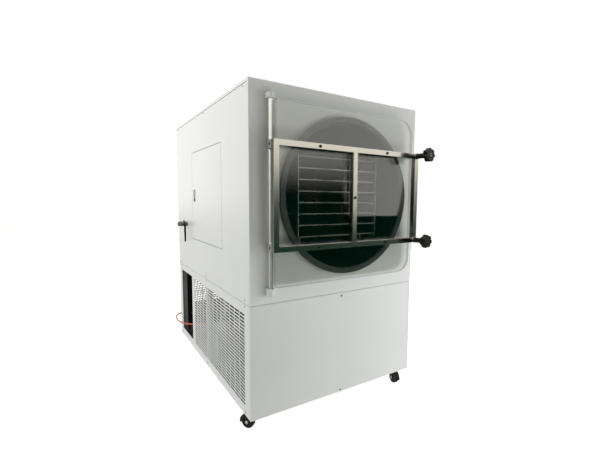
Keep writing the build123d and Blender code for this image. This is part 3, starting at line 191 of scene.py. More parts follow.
def grained_metal(name, base, along, roughness, depth, streak=0.12):
    """Metal with a directional grain: fine scratches drawn out along one axis blur its reflections."""
    material, tree, place = start_material(name)
    across = 1 / (1.2 * MM)
    stretch = tuple(across * (0.02 if axis == along else 1.0) for axis in "XYZ")
    drawn = add_node(tree, "ShaderNodeMapping", {"Vector": place, "Scale": stretch})
    # A belt's grain is about 0.1 mm wide, and is drawn at 1.2 mm so that it shows.
    lines = add_node(tree, "ShaderNodeTexNoise", {"Vector": drawn.outputs["Vector"], "Scale": 1.0,
                                                  "Detail": 3.0, "Roughness": 0.6})
    tint = add_node(tree, "ShaderNodeMix", {"Factor": lines.outputs["Fac"], "A": base,
                                            "B": shaded(base, 1 - streak)}, data_type="RGBA")
    gloss = add_node(tree, "ShaderNodeMapRange", {"Value": lines.outputs["Fac"], "To Min": roughness * 0.7,
                                                  "To Max": roughness * 1.35})
    bump = add_node(tree, "ShaderNodeBump", {"Height": lines.outputs["Fac"], "Strength": depth,
                                             "Distance": 0.1 * MM})
    shader = add_node(tree, "ShaderNodeBsdfPrincipled",
                      {"Base Color": tint.outputs["Result"], "Roughness": gloss.outputs["Result"],
                       "Normal": bump.outputs["Normal"], "Metallic": 1.0})
    finish_material(tree, shader)
    return material


def plated_metal(name, base, roughness, blotch):
    """Plated or cast metal: a cloudy, even finish with no grain."""
    material, tree, place = start_material(name)
    cloud = add_node(tree, "ShaderNodeTexNoise", {"Vector": place, "Scale": 1 / blotch, "Detail": 4.0})
    tint = add_node(tree, "ShaderNodeMix", {"Factor": cloud.outputs["Fac"], "A": base,
                                            "B": shaded(base, 0.82)}, data_type="RGBA")
    gloss = add_node(tree, "ShaderNodeMapRange", {"Value": cloud.outputs["Fac"], "To Min": roughness * 0.75,
                                                  "To Max": roughness * 1.25})
    shader = add_node(tree, "ShaderNodeBsdfPrincipled",
                      {"Base Color": tint.outputs["Result"], "Roughness": gloss.outputs["Result"],
                       "Metallic": 1.0})
    finish_material(tree, shader)
    return material


def galvanised_sheet(name, base):
    """Hot-dip galvanised sheet: spangles of slightly different grey meet at straight edges."""
    material, tree, place = start_material(name)
    spangle = add_node(tree, "ShaderNodeTexVoronoi", {"Vector": place, "Scale": 1 / (12 * MM)})
    grey = add_node(tree, "ShaderNodeSeparateColor", {"Color": spangle.outputs["Color"]})
    tint = add_node(tree, "ShaderNodeMix", {"Factor": grey.outputs["Red"], "A": base,
                                            "B": shaded(base, 0.72)}, data_type="RGBA")
    gloss = add_node(tree, "ShaderNodeMapRange", {"Value": grey.outputs["Green"], "To Min": 0.32,
                                                  "To Max": 0.5})
    shader = add_node(tree, "ShaderNodeBsdfPrincipled",
                      {"Base Color": tint.outputs["Result"], "Roughness": gloss.outputs["Result"],
                       "Metallic": 1.0})
    finish_material(tree, shader)
    return material


def moulded(name, base, roughness, grain, depth, shine=0.5):
    """Moulded plastic or rubber: a matt spark-eroded texture that catches a soft highlight."""
    material, tree, place = start_material(name)
    pits = add_node(tree, "ShaderNodeTexNoise", {"Vector": place, "Scale": 1 / grain, "Detail": 5.0})
    pale = tuple(min(1.0, c * 1.3 + 0.002) for c in base[:3]) + (1.0,)
    tint = add_node(tree, "ShaderNodeMix", {"Factor": pits.outputs["Fac"], "A": base, "B": pale},
                    data_type="RGBA")
    gloss = add_node(tree, "ShaderNodeMapRange", {"Value": pits.outputs["Fac"], "To Min": roughness - 0.08,
                                                  "To Max": roughness + 0.08})
    bump = add_node(tree, "ShaderNodeBump", {"Height": pits.outputs["Fac"], "Strength": depth,
                                             "Distance": 0.3 * MM})
    shader = add_node(tree, "ShaderNodeBsdfPrincipled",
                      {"Base Color": tint.outputs["Result"], "Roughness": gloss.outputs["Result"],
                       "Normal": bump.outputs["Normal"], "IOR": PAINT_IOR, "Specular IOR Level": shine})
    finish_material(tree, shader)
    return material


def let_light_through(tree, shader, shade):
    """Lamps reach what lies behind the plate, which casts only a faint shadow."""
    clear = add_node(tree, "ShaderNodeBsdfTransparent", {"Color": shade})
    path = add_node(tree, "ShaderNodeLightPath")
    mix = add_node(tree, "ShaderNodeMixShader", {"Fac": path.outputs["Is Shadow Ray"],
                                                 1: shader.outputs[0], 2: clear.outputs[0]})
    finish_material(tree, mix)


def cast_acrylic(name, base, shade):
    """Cast acrylic plate: water-clear, with polished faces and a faint cool tint in its thickness."""
    material, tree, _ = start_material(name)
    shader = add_node(tree, "ShaderNodeBsdfPrincipled",
                      {"Base Color": base, "Roughness": 0.0, "IOR": ACRYLIC_IOR,
                       "Transmission Weight": 1.0})
    let_light_through(tree, shader, shade)
    return material


def sawn_acrylic(name, base, shade):
    """Sawn edge of the acrylic plate: pale and satin, where light leaks out of its thickness."""
    material, tree, place = start_material(name)
    marks = add_node(tree, "ShaderNodeTexNoise", {"Vector": place, "Scale": 1 / (6 * MM), "Detail": 2.0})
    tint = add_node(tree, "ShaderNodeMix", {"Factor": marks.outputs["Fac"], "A": base,
                                            "B": shaded(base, 0.85)}, data_type="RGBA")
    shader = add_node(tree, "ShaderNodeBsdfPrincipled",
                      {"Base Color": tint.outputs["Result"], "Roughness": 0.35, "IOR": ACRYLIC_IOR,
                       "Alpha": 0.35})
    let_light_through(tree, shader, shade)
    return material


def drawn_hose(name, base):
    """Polyurethane hose: glossy, slightly translucent, with a faint drift of colour."""
    material, tree, place = start_material(name)
    drift = add_node(tree, "ShaderNodeTexNoise", {"Vector": place, "Scale": 1 / (15 * MM), "Detail": 3.0})
    tint = add_node(tree, "ShaderNodeMix", {"Factor": drift.outputs["Fac"], "A": base,
                                            "B": shaded(base, 0.85)}, data_type="RGBA")
    shader = add_node(tree, "ShaderNodeBsdfPrincipled",
                      {"Base Color": tint.outputs["Result"], "Roughness": 0.28, "IOR": PAINT_IOR,
                       "Subsurface Weight": 0.1, "Subsurface Scale": 2 * MM})
    finish_material(tree, shader)
    return material


def make_finish(slot):
    """Makes the material of one of the record's slots."""
    c = bpy.context.scene.dryer_colours
    makers = {
        "white_enamel": lambda: enamel(slot, c.enamel, c.enamel_shade, roughness=0.3, grain=5 * MM),
        "pump_enamel": lambda: enamel(slot, c.pump, c.enamel_shade, roughness=0.34, grain=8 * MM),
        "grey_enamel": lambda: enamel(slot, c.control, c.nickel, roughness=0.4, grain=5 * MM),
        "black_enamel": lambda: moulded(slot, c.black_enamel, roughness=0.35, grain=6 * MM, depth=0.1,
                                        shine=0.18),
        "stainless_steel": lambda: grained_metal(slot, c.stainless, "Y", roughness=0.36, depth=0.25),
        "polished_steel": lambda: grained_metal(slot, c.polished, "X", roughness=0.18, depth=0.06,
                                                streak=0.05),
        # Chamber wall: stainless darkened as painted shade for the dark inside of the chamber.
        "chamber_steel_painted_shade": lambda: plated_metal(slot, c.chamber, roughness=0.5, blotch=30 * MM),
        "satin_steel": lambda: grained_metal(slot, c.satin, "X", roughness=0.42, depth=0.1,
                                             streak=0.08),
        # Inner faces of the machine room's sheets, darkened as painted shade.
        "foam_lining": lambda: moulded(slot, c.machine_room_shade, roughness=0.85, grain=3 * MM, depth=0.4),
        "plate_edge": lambda: sawn_acrylic(slot, c.plate_edge, c.acrylic_shade),
        "galvanised_steel": lambda: galvanised_sheet(slot, c.galvanised),
        "clear_acrylic": lambda: cast_acrylic(slot, c.acrylic, c.acrylic_shade),
        "black_rubber": lambda: moulded(slot, c.rubber, roughness=0.55, grain=3 * MM, depth=0.15),
        "castor_tread": lambda: moulded(slot, c.tread, roughness=0.5, grain=3 * MM, depth=0.2,
                                        shine=0.18),
        "black_plastic": lambda: moulded(slot, c.nylon, roughness=0.42, grain=2 * MM, depth=0.2,
                                         shine=0.3),
        "zinc_plate": lambda: plated_metal(slot, c.zinc, roughness=0.32, blotch=6 * MM),
        "nickel_plate": lambda: plated_metal(slot, c.nickel, roughness=0.25, blotch=10 * MM),
        "copper_tube": lambda: plated_metal(slot, c.copper, roughness=0.3, blotch=15 * MM),
        "fin_aluminium": lambda: plated_metal(slot, c.aluminium, roughness=0.35, blotch=10 * MM),
        "brass": lambda: plated_metal(slot, c.brass, roughness=0.28, blotch=8 * MM),
        "red_hose": lambda: drawn_hose(slot, c.hose),
    }
    return makers[slot]()


def finish_of(slot):
    """The material of a slot, made when it is first asked for."""
    return bpy.data.materials.get(f"{slot}_finish") or make_finish(slot)


OWN_FINISH = {  # pieces with a finish apart from the rest of their slot
    # painted shade: the chamber's wall is darkened for the dark inside of it
    "chamber": "chamber_steel_painted_shade",
    "hinge_shaft": "satin_steel",
    "hinge_blocks": "satin_steel",
}
SIDE_FINISHES = (  # node, finish, axis, and the limits of the normal's part along it
    ("door_plate", "plate_edge", 1, -0.3, 0.3),
    # the panels' inner faces get painted shade for the dark inside of the machine room
    ("front_lower_panel", "foam_lining", 1, 0.7, 1.1),
    ("rear_lower_panel", "foam_lining", 1, -1.1, -0.7),
    ("right_lower_panel", "foam_lining", 0, -1.1, -0.7),
)


# ---------------------------------------------------------------- surfaces
def build(name, patches, slot, body):
    """One piece from grids of points. Each patch is (points, wrap rows, wrap columns), where points has
    the shape rows x columns x 3. Coincident points are merged, which closes seams and poles."""
    points, faces, start = [], [], 0
    for grid, wrap_rows, wrap_columns in patches:
        rows, columns = grid.shape[:2]
        index = start + np.arange(rows * columns).reshape(rows, columns)
        if wrap_rows:
            index = np.vstack([index, index[:1]])
        if wrap_columns:
            index = np.hstack([index, index[:, :1]])
        corners = (index[:-1, :-1], index[:-1, 1:], index[1:, 1:], index[1:, :-1])
        faces.append(np.stack(corners, axis=-1).reshape(-1, 4))
        points.append(grid.reshape(-1, 3))
        start += rows * columns
    mesh = bpy.data.meshes.new(name)
    mesh.from_pydata(np.vstack(points).tolist(), [], np.vstack(faces).tolist())
    shell = bmesh.new()
    shell.from_mesh(mesh)
    bmesh.ops.remove_doubles(shell, verts=shell.verts, dist=MERGE)
    bmesh.ops.recalc_face_normals(shell, faces=shell.faces)
    shell.to_mesh(mesh)
    shell.free()
    mesh.polygons.foreach_set("use_smooth", np.ones(len(mesh.polygons), bool))
    mesh.set_sharp_from_angle(angle=CREASE)
    piece = bpy.data.objects.new(name, mesh)
    bpy.context.scene.collection.objects.link(piece)
    piece.data.materials.append(finish_of(slot))
    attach(piece, body)
    return piece


def ring_about(axis, sides, first=0.0):
    """The unit axis, equal angles a round it, and their outward directions cos a * u + sin a * v, with u
    and v square to the axis and to each other."""
    axis = Vector(axis).normalized()
    side = axis.orthogonal().normalized()
    u, v = np.array(side), np.array(axis.cross(side))
    angle = np.linspace(0, 2 * pi, sides, endpoint=False) + first
    return np.array(axis), angle, np.cos(angle)[:, None] * u + np.sin(angle)[:, None] * v


def swept(start, axis, along, radius, ring):
    """Closed patch round an axis, each point of which is start + along * axis + radius * ring."""
    return np.array(start) + along[:, :, None] * axis + radius[:, :, None] * ring, False, True


def turned(start, axis, profile, sides=48):
    """Surface of revolution. The profile's rows are (distance along the axis, radius), and each point is
    start + distance * axis + radius * (cos a * u + sin a * v)."""
    profile = np.asarray(profile, float)
    axis, _, ring = ring_about(axis, sides)
    return swept(start, axis, profile[:, :1], profile[:, 1:], ring)


def lobed(start, axis, profile, lobes, sides=168):
    """Surface with lobes round an axis. The profile's rows are (distance along the axis, radius of the
    valleys, height of the lobes), and the radius at an angle a is
    valley + height * |cos(lobes * a / 2)| ^ 0.6."""
    profile = np.asarray(profile, float)
    axis, angle, ring = ring_about(axis, sides)
    swell = np.abs(np.cos(lobes * angle / 2)) ** 0.6
    return swept(start, axis, profile[:, :1], profile[:, 1:2] + profile[:, 2:3] * swell, ring)


def cross_head(face, axis, radius, height, shank, reach, sides=40):
    """Pan-head screw with a cross recess, and its shank. Over the head the height at a radius r is
    height * (1 - 0.55 * (r / radius) ^ 2.5), less the recess's depth where r < 0.62 * radius and the
    distance to the nearer arm's middle line is under 0.13 * radius."""
    axis, angle, ring = ring_about(axis, sides, pi / sides)
    steps = np.concatenate([[0.0, 0.08], np.linspace(0.16, 0.6, 7), np.linspace(0.66, 1.0, 5)]) * radius
    r, a = np.meshgrid(steps, angle, indexing="ij")
    across = np.minimum(np.abs(r * np.cos(a)), np.abs(r * np.sin(a)))
    sunk = (across < 0.13 * radius) & (r < 0.62 * radius)
    rise = height * (1 - 0.55 * (r / radius) ** 2.5) - 0.7 * height * sunk
    dome = np.dstack([rise, r])
    skirt = np.array([(0.0, radius), (0.0, shank), (-reach, shank), (-reach, 0.0)])
    skirt = np.repeat(skirt[:, None, :], sides, axis=1)
    both = np.concatenate([dome, skirt])
    return swept(face, axis, both[:, :, 0], both[:, :, 1], ring)


def socket_head(face, axis, radius, height, shank, reach, socket, sides=48):
    """Cap screw with a six-sided socket. The socket's radius at an angle a is
    socket / cos(((a + pi/6) mod pi/3) - pi/6)."""
    axis, angle, ring = ring_about(axis, sides)
    six = socket / np.cos((angle + pi / 6) % (pi / 3) - pi / 6)
    level = np.ones(sides)
    edge = 0.08 * radius
    rows = [(0.25 * height, 0 * level), (0.25 * height, six), (height - 0.02 * radius, six),
            (height, six + 0.04 * radius), (height, (radius - edge) * level),
            (height - edge, radius * level), (0.0, radius * level), (0.0, shank * level),
            (-reach, shank * level), (-reach, 0 * level)]
    along = np.array([row[0] for row in rows])
    out = np.array([row[1] for row in rows])
    return swept(face, axis, along[:, None], out, ring)


# ---------------------------------------------------------------- operators
class FREEZEDRYER_OT_finishes(bpy.types.Operator):
    """Give every piece of the frame the finish of its slot"""

    bl_idname = "freeze_dryer.finishes"
    bl_label = "Finishes"

    def execute(self, context):
        for row in frame["record"]["subparts"]:
            node = frame["nodes"][row["node"]]
            node.data.materials.clear()
            node.data.materials.append(finish_of(OWN_FINISH.get(row["node"], row["material_slot"])))
        for row in SIDE_FINISHES:
            self.finish_sides(*row)
        return {"FINISHED"}

    def finish_sides(self, name, slot, axis, low, high):
        """Gives the faces of one node whose normal lies between two values along an axis their own
        finish: the sawn edges of the clear plate, and the dark inner faces of the machine room's sheets,
        painted shade for the dark inside of the room."""
        mesh = frame["nodes"][name].data
        mesh.materials.append(finish_of(slot))
        normals = np.empty(len(mesh.polygons) * 3)
        mesh.polygons.foreach_get("normal", normals)
        along = normals.reshape(-1, 3)[:, axis]
        mesh.polygons.foreach_set("material_index", ((along > low) & (along < high)).astype(int))


KNOB_GRIP = [  # millimetres from the knob's face: distance, radius of the valleys, height of the lobes
    (6, 0, 0), (6, 6.4, 0), (0.5, 6.4, 0), (0.0, 9.6, 0), (0.5, 11.5, 0), (1.8, 12.6, 0.2),
    (1.9, 14.8, 1.0), (1.0, 17.0, 3.4), (1.1, 18.6, 5.2), (2.2, 19.9, 6.8), (4.2, 20.5, 7.5),
    (12, 20.5, 7.5), (18.5, 20.5, 7.5), (21.0, 19.8, 6.8), (22.6, 18.0, 4.6), (23.0, 15.4, 1.8),
    (23.6, 12.6, 0.3), (25.5, 11.0, 0), (30, 10.5, 0),
]
KNOB_NECK, KNOB_COLLAR, KNOB_STUD = 10.5, 11.4, 4.0  # radii in millimetres
KNOB_RING = [(5.9, 6.4), (5.9, 4.2), (1.4, 4.2), (1.0, 4.6), (1.0, 6.0), (1.4, 6.4)]  # distance, radius


class FREEZEDRYER_OT_knobs(bpy.types.Operator):
    """Turn the two latch knobs into moulded star knobs with a pressed-in ring"""

    bl_idname = "freeze_dryer.knobs"
    bl_label = "Latch knobs"

    def execute(self, context):
        lobes = context.scene.dryer_sizes.knob_lobes
        for level in ("top", "bottom"):
            low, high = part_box(f"knob_{level}")
            washer_low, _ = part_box(f"knob_washer_{level}")
            face = Vector(((low.x + high.x) / 2, low.y, (low.z + high.z) / 2))
            reach = (high.y - low.y) / MM
            neck = (washer_low.y - low.y) / MM
            profile = np.array(KNOB_GRIP + [
                (neck - 2.5, KNOB_NECK, 0), (neck - 1.0, KNOB_COLLAR, 0), (neck, KNOB_COLLAR, 0),
                (neck, KNOB_STUD, 0), (reach, KNOB_STUD, 0), (reach, 0, 0),
            ]) * MM
            knob = build(f"star_knob_{level}", [lobed(face, (0, 1, 0), profile, lobes)],
                         "black_plastic", f"knob_{level}_turn")
            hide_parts(f"knob_{level}")
            build(f"knob_ring_{level}", [turned(face, (0, 1, 0), np.array(KNOB_RING) * MM)],
                  "zinc_plate", f"knob_{level}_turn")
        return {"FINISHED"}


PLACES = ("front_left", "front_right", "rear_left", "rear_right")
# Profiles of a castor in millimetres: distance along the axle from the wheel's middle, radius.
HALF_WHEEL = [(11.0, 4.1), (11.0, 8.0), (10.4, 8.6), (8.2, 9.4), (7.8, 15.2), (8.4, 16.0), (10.6, 16.6),
              (11.0, 17.2), (11.0, 21.0), (10.6, 22.6), (9.4, 23.8), (7.6, 24.4), (4.0, 24.85), (0.0, 25.0)]
AXLE_HEAD = [(16.5, 0.0), (16.4, 2.5), (15.9, 4.6), (15.2, 6.0), (14.5, 6.5), (14.5, 4.0)]
HOOD_OUTSIDE = [(-12.2, 16.0), (-12.2, 29.8), (-11.0, 31.0), (11.0, 31.0), (12.2, 29.8), (12.2, 16.0)]
HOOD_INSIDE = [(-11.5, 16.0), (-11.5, 29.0), (-11.0, 29.4), (11.0, 29.4), (11.5, 29.0), (11.5, 16.0)]
HOOD_ARC = (-8, 165)  # degrees from straight back, over the top


class FREEZEDRYER_OT_castors(bpy.types.Operator):
    """Round the castors' tyres, sink their hubs, dome their axle heads and give them their hoods"""

    bl_idname = "freeze_dryer.castors"
    bl_label = "Castors"

    def execute(self, context):
        joints = {joint["name"]: joint for joint in frame["record"]["behaviour"]["joints"]}
        for place in PLACES:
            roll = joints[f"castor_{place}_roll"]
            middle, axis = Vector(roll["pos_m"]), Vector(roll["axis"])
            self.add_wheel(place, middle, axis)
            self.add_axle_heads(place, middle, axis)
            self.add_hood(place, middle, axis, Vector(joints[f"castor_{place}_swivel"]["pos_m"]))
        return {"FINISHED"}

    def add_wheel(self, place, middle, axis):
        """Tyre with a crowned tread, and a hub that is sunk between the rim and the boss."""
        rows = HALF_WHEEL + [(-along, out) for along, out in reversed(HALF_WHEEL[:-1])] + HALF_WHEEL[:1]
        profile = np.array(rows) * MM
        wheel = build(f"castor_wheel_{place}", [turned(middle, axis, profile, 72)], "castor_tread",
                      f"wheel_{place}")
        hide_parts(f"caster_wheel_{place}")

    def add_hood(self, place, middle, axis, kingpin):
        """Pressed hood over the wheel: a channel carried round the axle. Each point is
        middle + distance * axis + radius * (cos a * back + sin a * up)."""
        outside = np.array(HOOD_OUTSIDE) * MM
        inside = np.array(HOOD_INSIDE) * MM
        back = np.array((middle.x - kingpin.x, middle.y - kingpin.y, 0.0))
        back /= np.linalg.norm(back)
        angle = np.radians(np.linspace(*HOOD_ARC, 48))
        spoke = np.cos(angle)[:, None] * back + np.sin(angle)[:, None] * np.array((0.0, 0.0, 1.0))
        outer, inner = (np.array(middle) + rows[None, :, :1] * np.array(axis)
                        + rows[None, :, 1:] * spoke[:, None, :] for rows in (outside, inside))
        channel = np.concatenate([outer, inner[:, ::-1]], axis=1)
        ends = [(np.stack([outer[i], inner[i]]), False, False) for i in (0, -1)]
        build(f"castor_hood_{place}", [(channel, False, True), *ends], "black_enamel", f"castor_{place}")

    def add_axle_heads(self, place, middle, axis):
        """Riveted axle with a domed head outside each cheek."""
        rows = AXLE_HEAD + [(-along, out) for along, out in reversed(AXLE_HEAD)]
        axle = build(f"castor_axle_{place}", [turned(middle, axis, np.array(rows) * MM, 32)],
                     "zinc_plate", f"castor_{place}")
        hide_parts(f"caster_axle_{place}")


PAN_HEAD = (4 * MM, 1.6 * MM, 2 * MM)  # radius and height of the head, radius of the shank
SHEET, FRONT_SHEET = 1.5 * MM, 2 * MM  # thickness that a panel screw's shank reaches through
SCREW_LEVELS = (12, 398, 421, 1142)  # millimetres above the underside, on the sides and the rear
FRONT_SCREW_LEVELS = (7, 395)
SIDE_INSET, SIDE_MIDDLE, REAR_INSET = 45.3 * MM, 510 * MM, 35 * MM


class FREEZEDRYER_OT_panel_screws(bpy.types.Operator):
    """Give the panels' screws their domed heads with a cross recess"""

    bl_idname = "freeze_dryer.panel_screws"
    bl_label = "Panel screws"

    def execute(self, context):
        along_side = [FRONT + SIDE_INSET, FRONT + SIDE_MIDDLE, REAR - SIDE_INSET]
        across_rear = [LEFT + REAR_INSET, RIGHT - REAR_INSET]
        levels, front_levels = ([UNDERSIDE + level * MM for level in row]
                                for row in (SCREW_LEVELS, FRONT_SCREW_LEVELS))
        middle = (LEFT + RIGHT) / 2
        spots = [((x, y, z), (side, 0, 0), SHEET) for x, side in ((LEFT, -1), (RIGHT, 1))
                 for y in along_side for z in levels]
        spots += [((x, REAR, z), (0, 1, 0), SHEET) for x in across_rear for z in levels]
        spots += [((middle, FRONT, z), (0, -1, 0), FRONT_SHEET) for z in front_levels]
        patches = [cross_head(place, outward, *PAN_HEAD, sheet) for place, outward, sheet in spots]
        screws = build("panel_screw_heads", patches, "polished_steel", "cabinet")
        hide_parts("panel_screws")
        return {"FINISHED"}


CAP_HEAD = (5 * MM, 3 * MM, 3 * MM)  # radius and height of the head, radius of the shank
CAP_REACH, CAP_SOCKET = 32 * MM, 2 * MM  # length of the shank, radius of the socket
HALF_TUBE = 10 * MM  # half the width of the door frame's tube
CAP_SPREAD = 157 * MM  # from the frame's middle to the outer cap screws
BLOCK_SCREW_INSET = 14 * MM  # from the frame's top and bottom
BLOCK_SCREW_FORWARD = 15 * MM  # from the hinge's shaft
BLOCK_SCREW_REACH = 1 * MM


class FREEZEDRYER_OT_door_screws(bpy.types.Operator):
    """Set the cap screws of the door's tube frame, and the hinge blocks' screws"""

    bl_idname = "freeze_dryer.door_screws"
    bl_label = "Door screws"

    def execute(self, context):
        low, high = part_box("door_frame")
        middle = (low.x + high.x) / 2
        levels = (low.z + HALF_TUBE, high.z - HALF_TUBE)
        spots = [(middle + side * CAP_SPREAD, level) for side in (-1, 1) for level in levels]
        spots.append((middle, sum(levels) / 2))
        patches = [socket_head((x, low.y, z), (0, -1, 0), *CAP_HEAD, CAP_REACH, CAP_SOCKET)
                   for x, z in spots]
        shaft_low, shaft_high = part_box("hinge_shaft")
        block_screw_y = (shaft_low.y + shaft_high.y) / 2 - BLOCK_SCREW_FORWARD
        patches += [cross_head((low.x, block_screw_y, z), (-1, 0, 0), *PAN_HEAD, BLOCK_SCREW_REACH)
                    for z in (low.z + BLOCK_SCREW_INSET, high.z - BLOCK_SCREW_INSET)]
        screws = build("door_cap_screws", patches, "black_enamel", "door")
        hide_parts("door_screws")
        return {"FINISHED"}


HOSE_ROUTE = [  # millimetres from the cabinet's front left bottom corner
    (120, 658, 110),
    (120, 704, 110),
    (106, 756, 105),
    (70, 806, 97),
    (26, 850, 90),
    (-12, 897, 87),
    (-31, 950, 88),
    (-33, 1000, 92),
    (-29, 1032, 95),
    (-12, 1057, 98),
    (16, 1068, 100),
    (48, 1068, 100),
]


class FREEZEDRYER_OT_hose(bpy.types.Operator):
    """Lay the red hose from the pump's barb round the rear corner to the rear elbow"""

    bl_idname = "freeze_dryer.hose"
    bl_label = "Hose"

    def execute(self, context):
        diameter = context.scene.dryer_sizes.hose_diameter
        line = bpy.data.curves.new("hose", "CURVE")
        line.dimensions = "3D"
        spline = line.splines.new("NURBS")
        spline.points.add(len(HOSE_ROUTE) - 1)
        corner = Vector((LEFT, FRONT, UNDERSIDE))
        for point, place in zip(spline.points, HOSE_ROUTE):
            point.co = (*(corner + Vector(place) * MM), 1.0)
        spline.order_u = 3
        spline.use_endpoint_u = True
        spline.resolution_u = 12
        line.bevel_depth = diameter / 2
        line.bevel_resolution = 6
        line.use_fill_caps = True
        piece = bpy.data.objects.new("hose", line)
        context.scene.collection.objects.link(piece)
        line.materials.append(finish_of("red_hose"))
        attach(piece, "cabinet")
        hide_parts("red_hose")
        return {"FINISHED"}


CAMERA_OFFSET = Vector((-0.462, -1.128, 0.771))  # from the cabinet's front left bottom corner
CAMERA_AZIMUTH = radians(33.16)
CAMERA_PITCH = radians(-5.19)
CAMERA_ROLL = radians(0.53)
CAMERA_LENS, CAMERA_SENSOR = 21.8, 36.0  # millimetres
CAMERA_SHIFT = (-0.0313, 0.013)
AMBIENT, AMBIENT_TINT = 0.2, linear("#FBFAEC")  # soft light from all round
FLOOR_TINT = linear("#C9CAC6")
WHITE = (1, 1, 1, 1)
WALL_BEGINS = (0.74, 0.78)  # sideways run of a mirrored ray for each unit ahead
WALL_ENDS = (1.0, 1.06)
WALL_EDGE = 0.075  # upward part of a mirrored ray where the bright walls begin
WALL_DROP = -0.12  # how much lower that is on the stretch that reaches down
BLUR, BLUR_DROP = 0.065, -0.055  # softness of the walls' edge, and its change on that stretch
BRIGHT_WALL = (1.85, 1.82, 1.74, 1.0)
DIM_ROOM = (0.003, 0.06, 0.036, 1.0)  # lower part of the room
DIM_SHAPES = (0.1, 0.082, 0.066, 1.0)  # clouds of warmer shade in it
DARK_FLOOR = (0.006, 0.056, 0.034, 1.0)  # mirrored floor in front of the machine
PALE_FLOOR = (0.9, 0.9, 0.87, 1.0)  # mirrored floor beside and behind it
FLOOR_GLOW = 0.9  # brings the floor up to the white behind it
FLOOR_REACH = 14.0  # metres to each side
LAMPS = (  # name, place, target, width, height, watts
    ("key", (-4.2, 0.35, 1.35), (LEFT, 0.1, 0.65), 3.0, 2.4, 101.0),
    ("low_front", (0.5, -1.6, 0.12), (0.1, FRONT, 0.2), 2.2, 0.2, 8.2),
    ("right_front", (1.9, -1.7, 0.7), (0.2, FRONT, 0.5), 0.8, 1.2, 21.3),
    ("rear_right", (2.4, 2.4, 2.3), (0.0, 0.0, 0.6), 2.4, 2.4, 88.0),
)


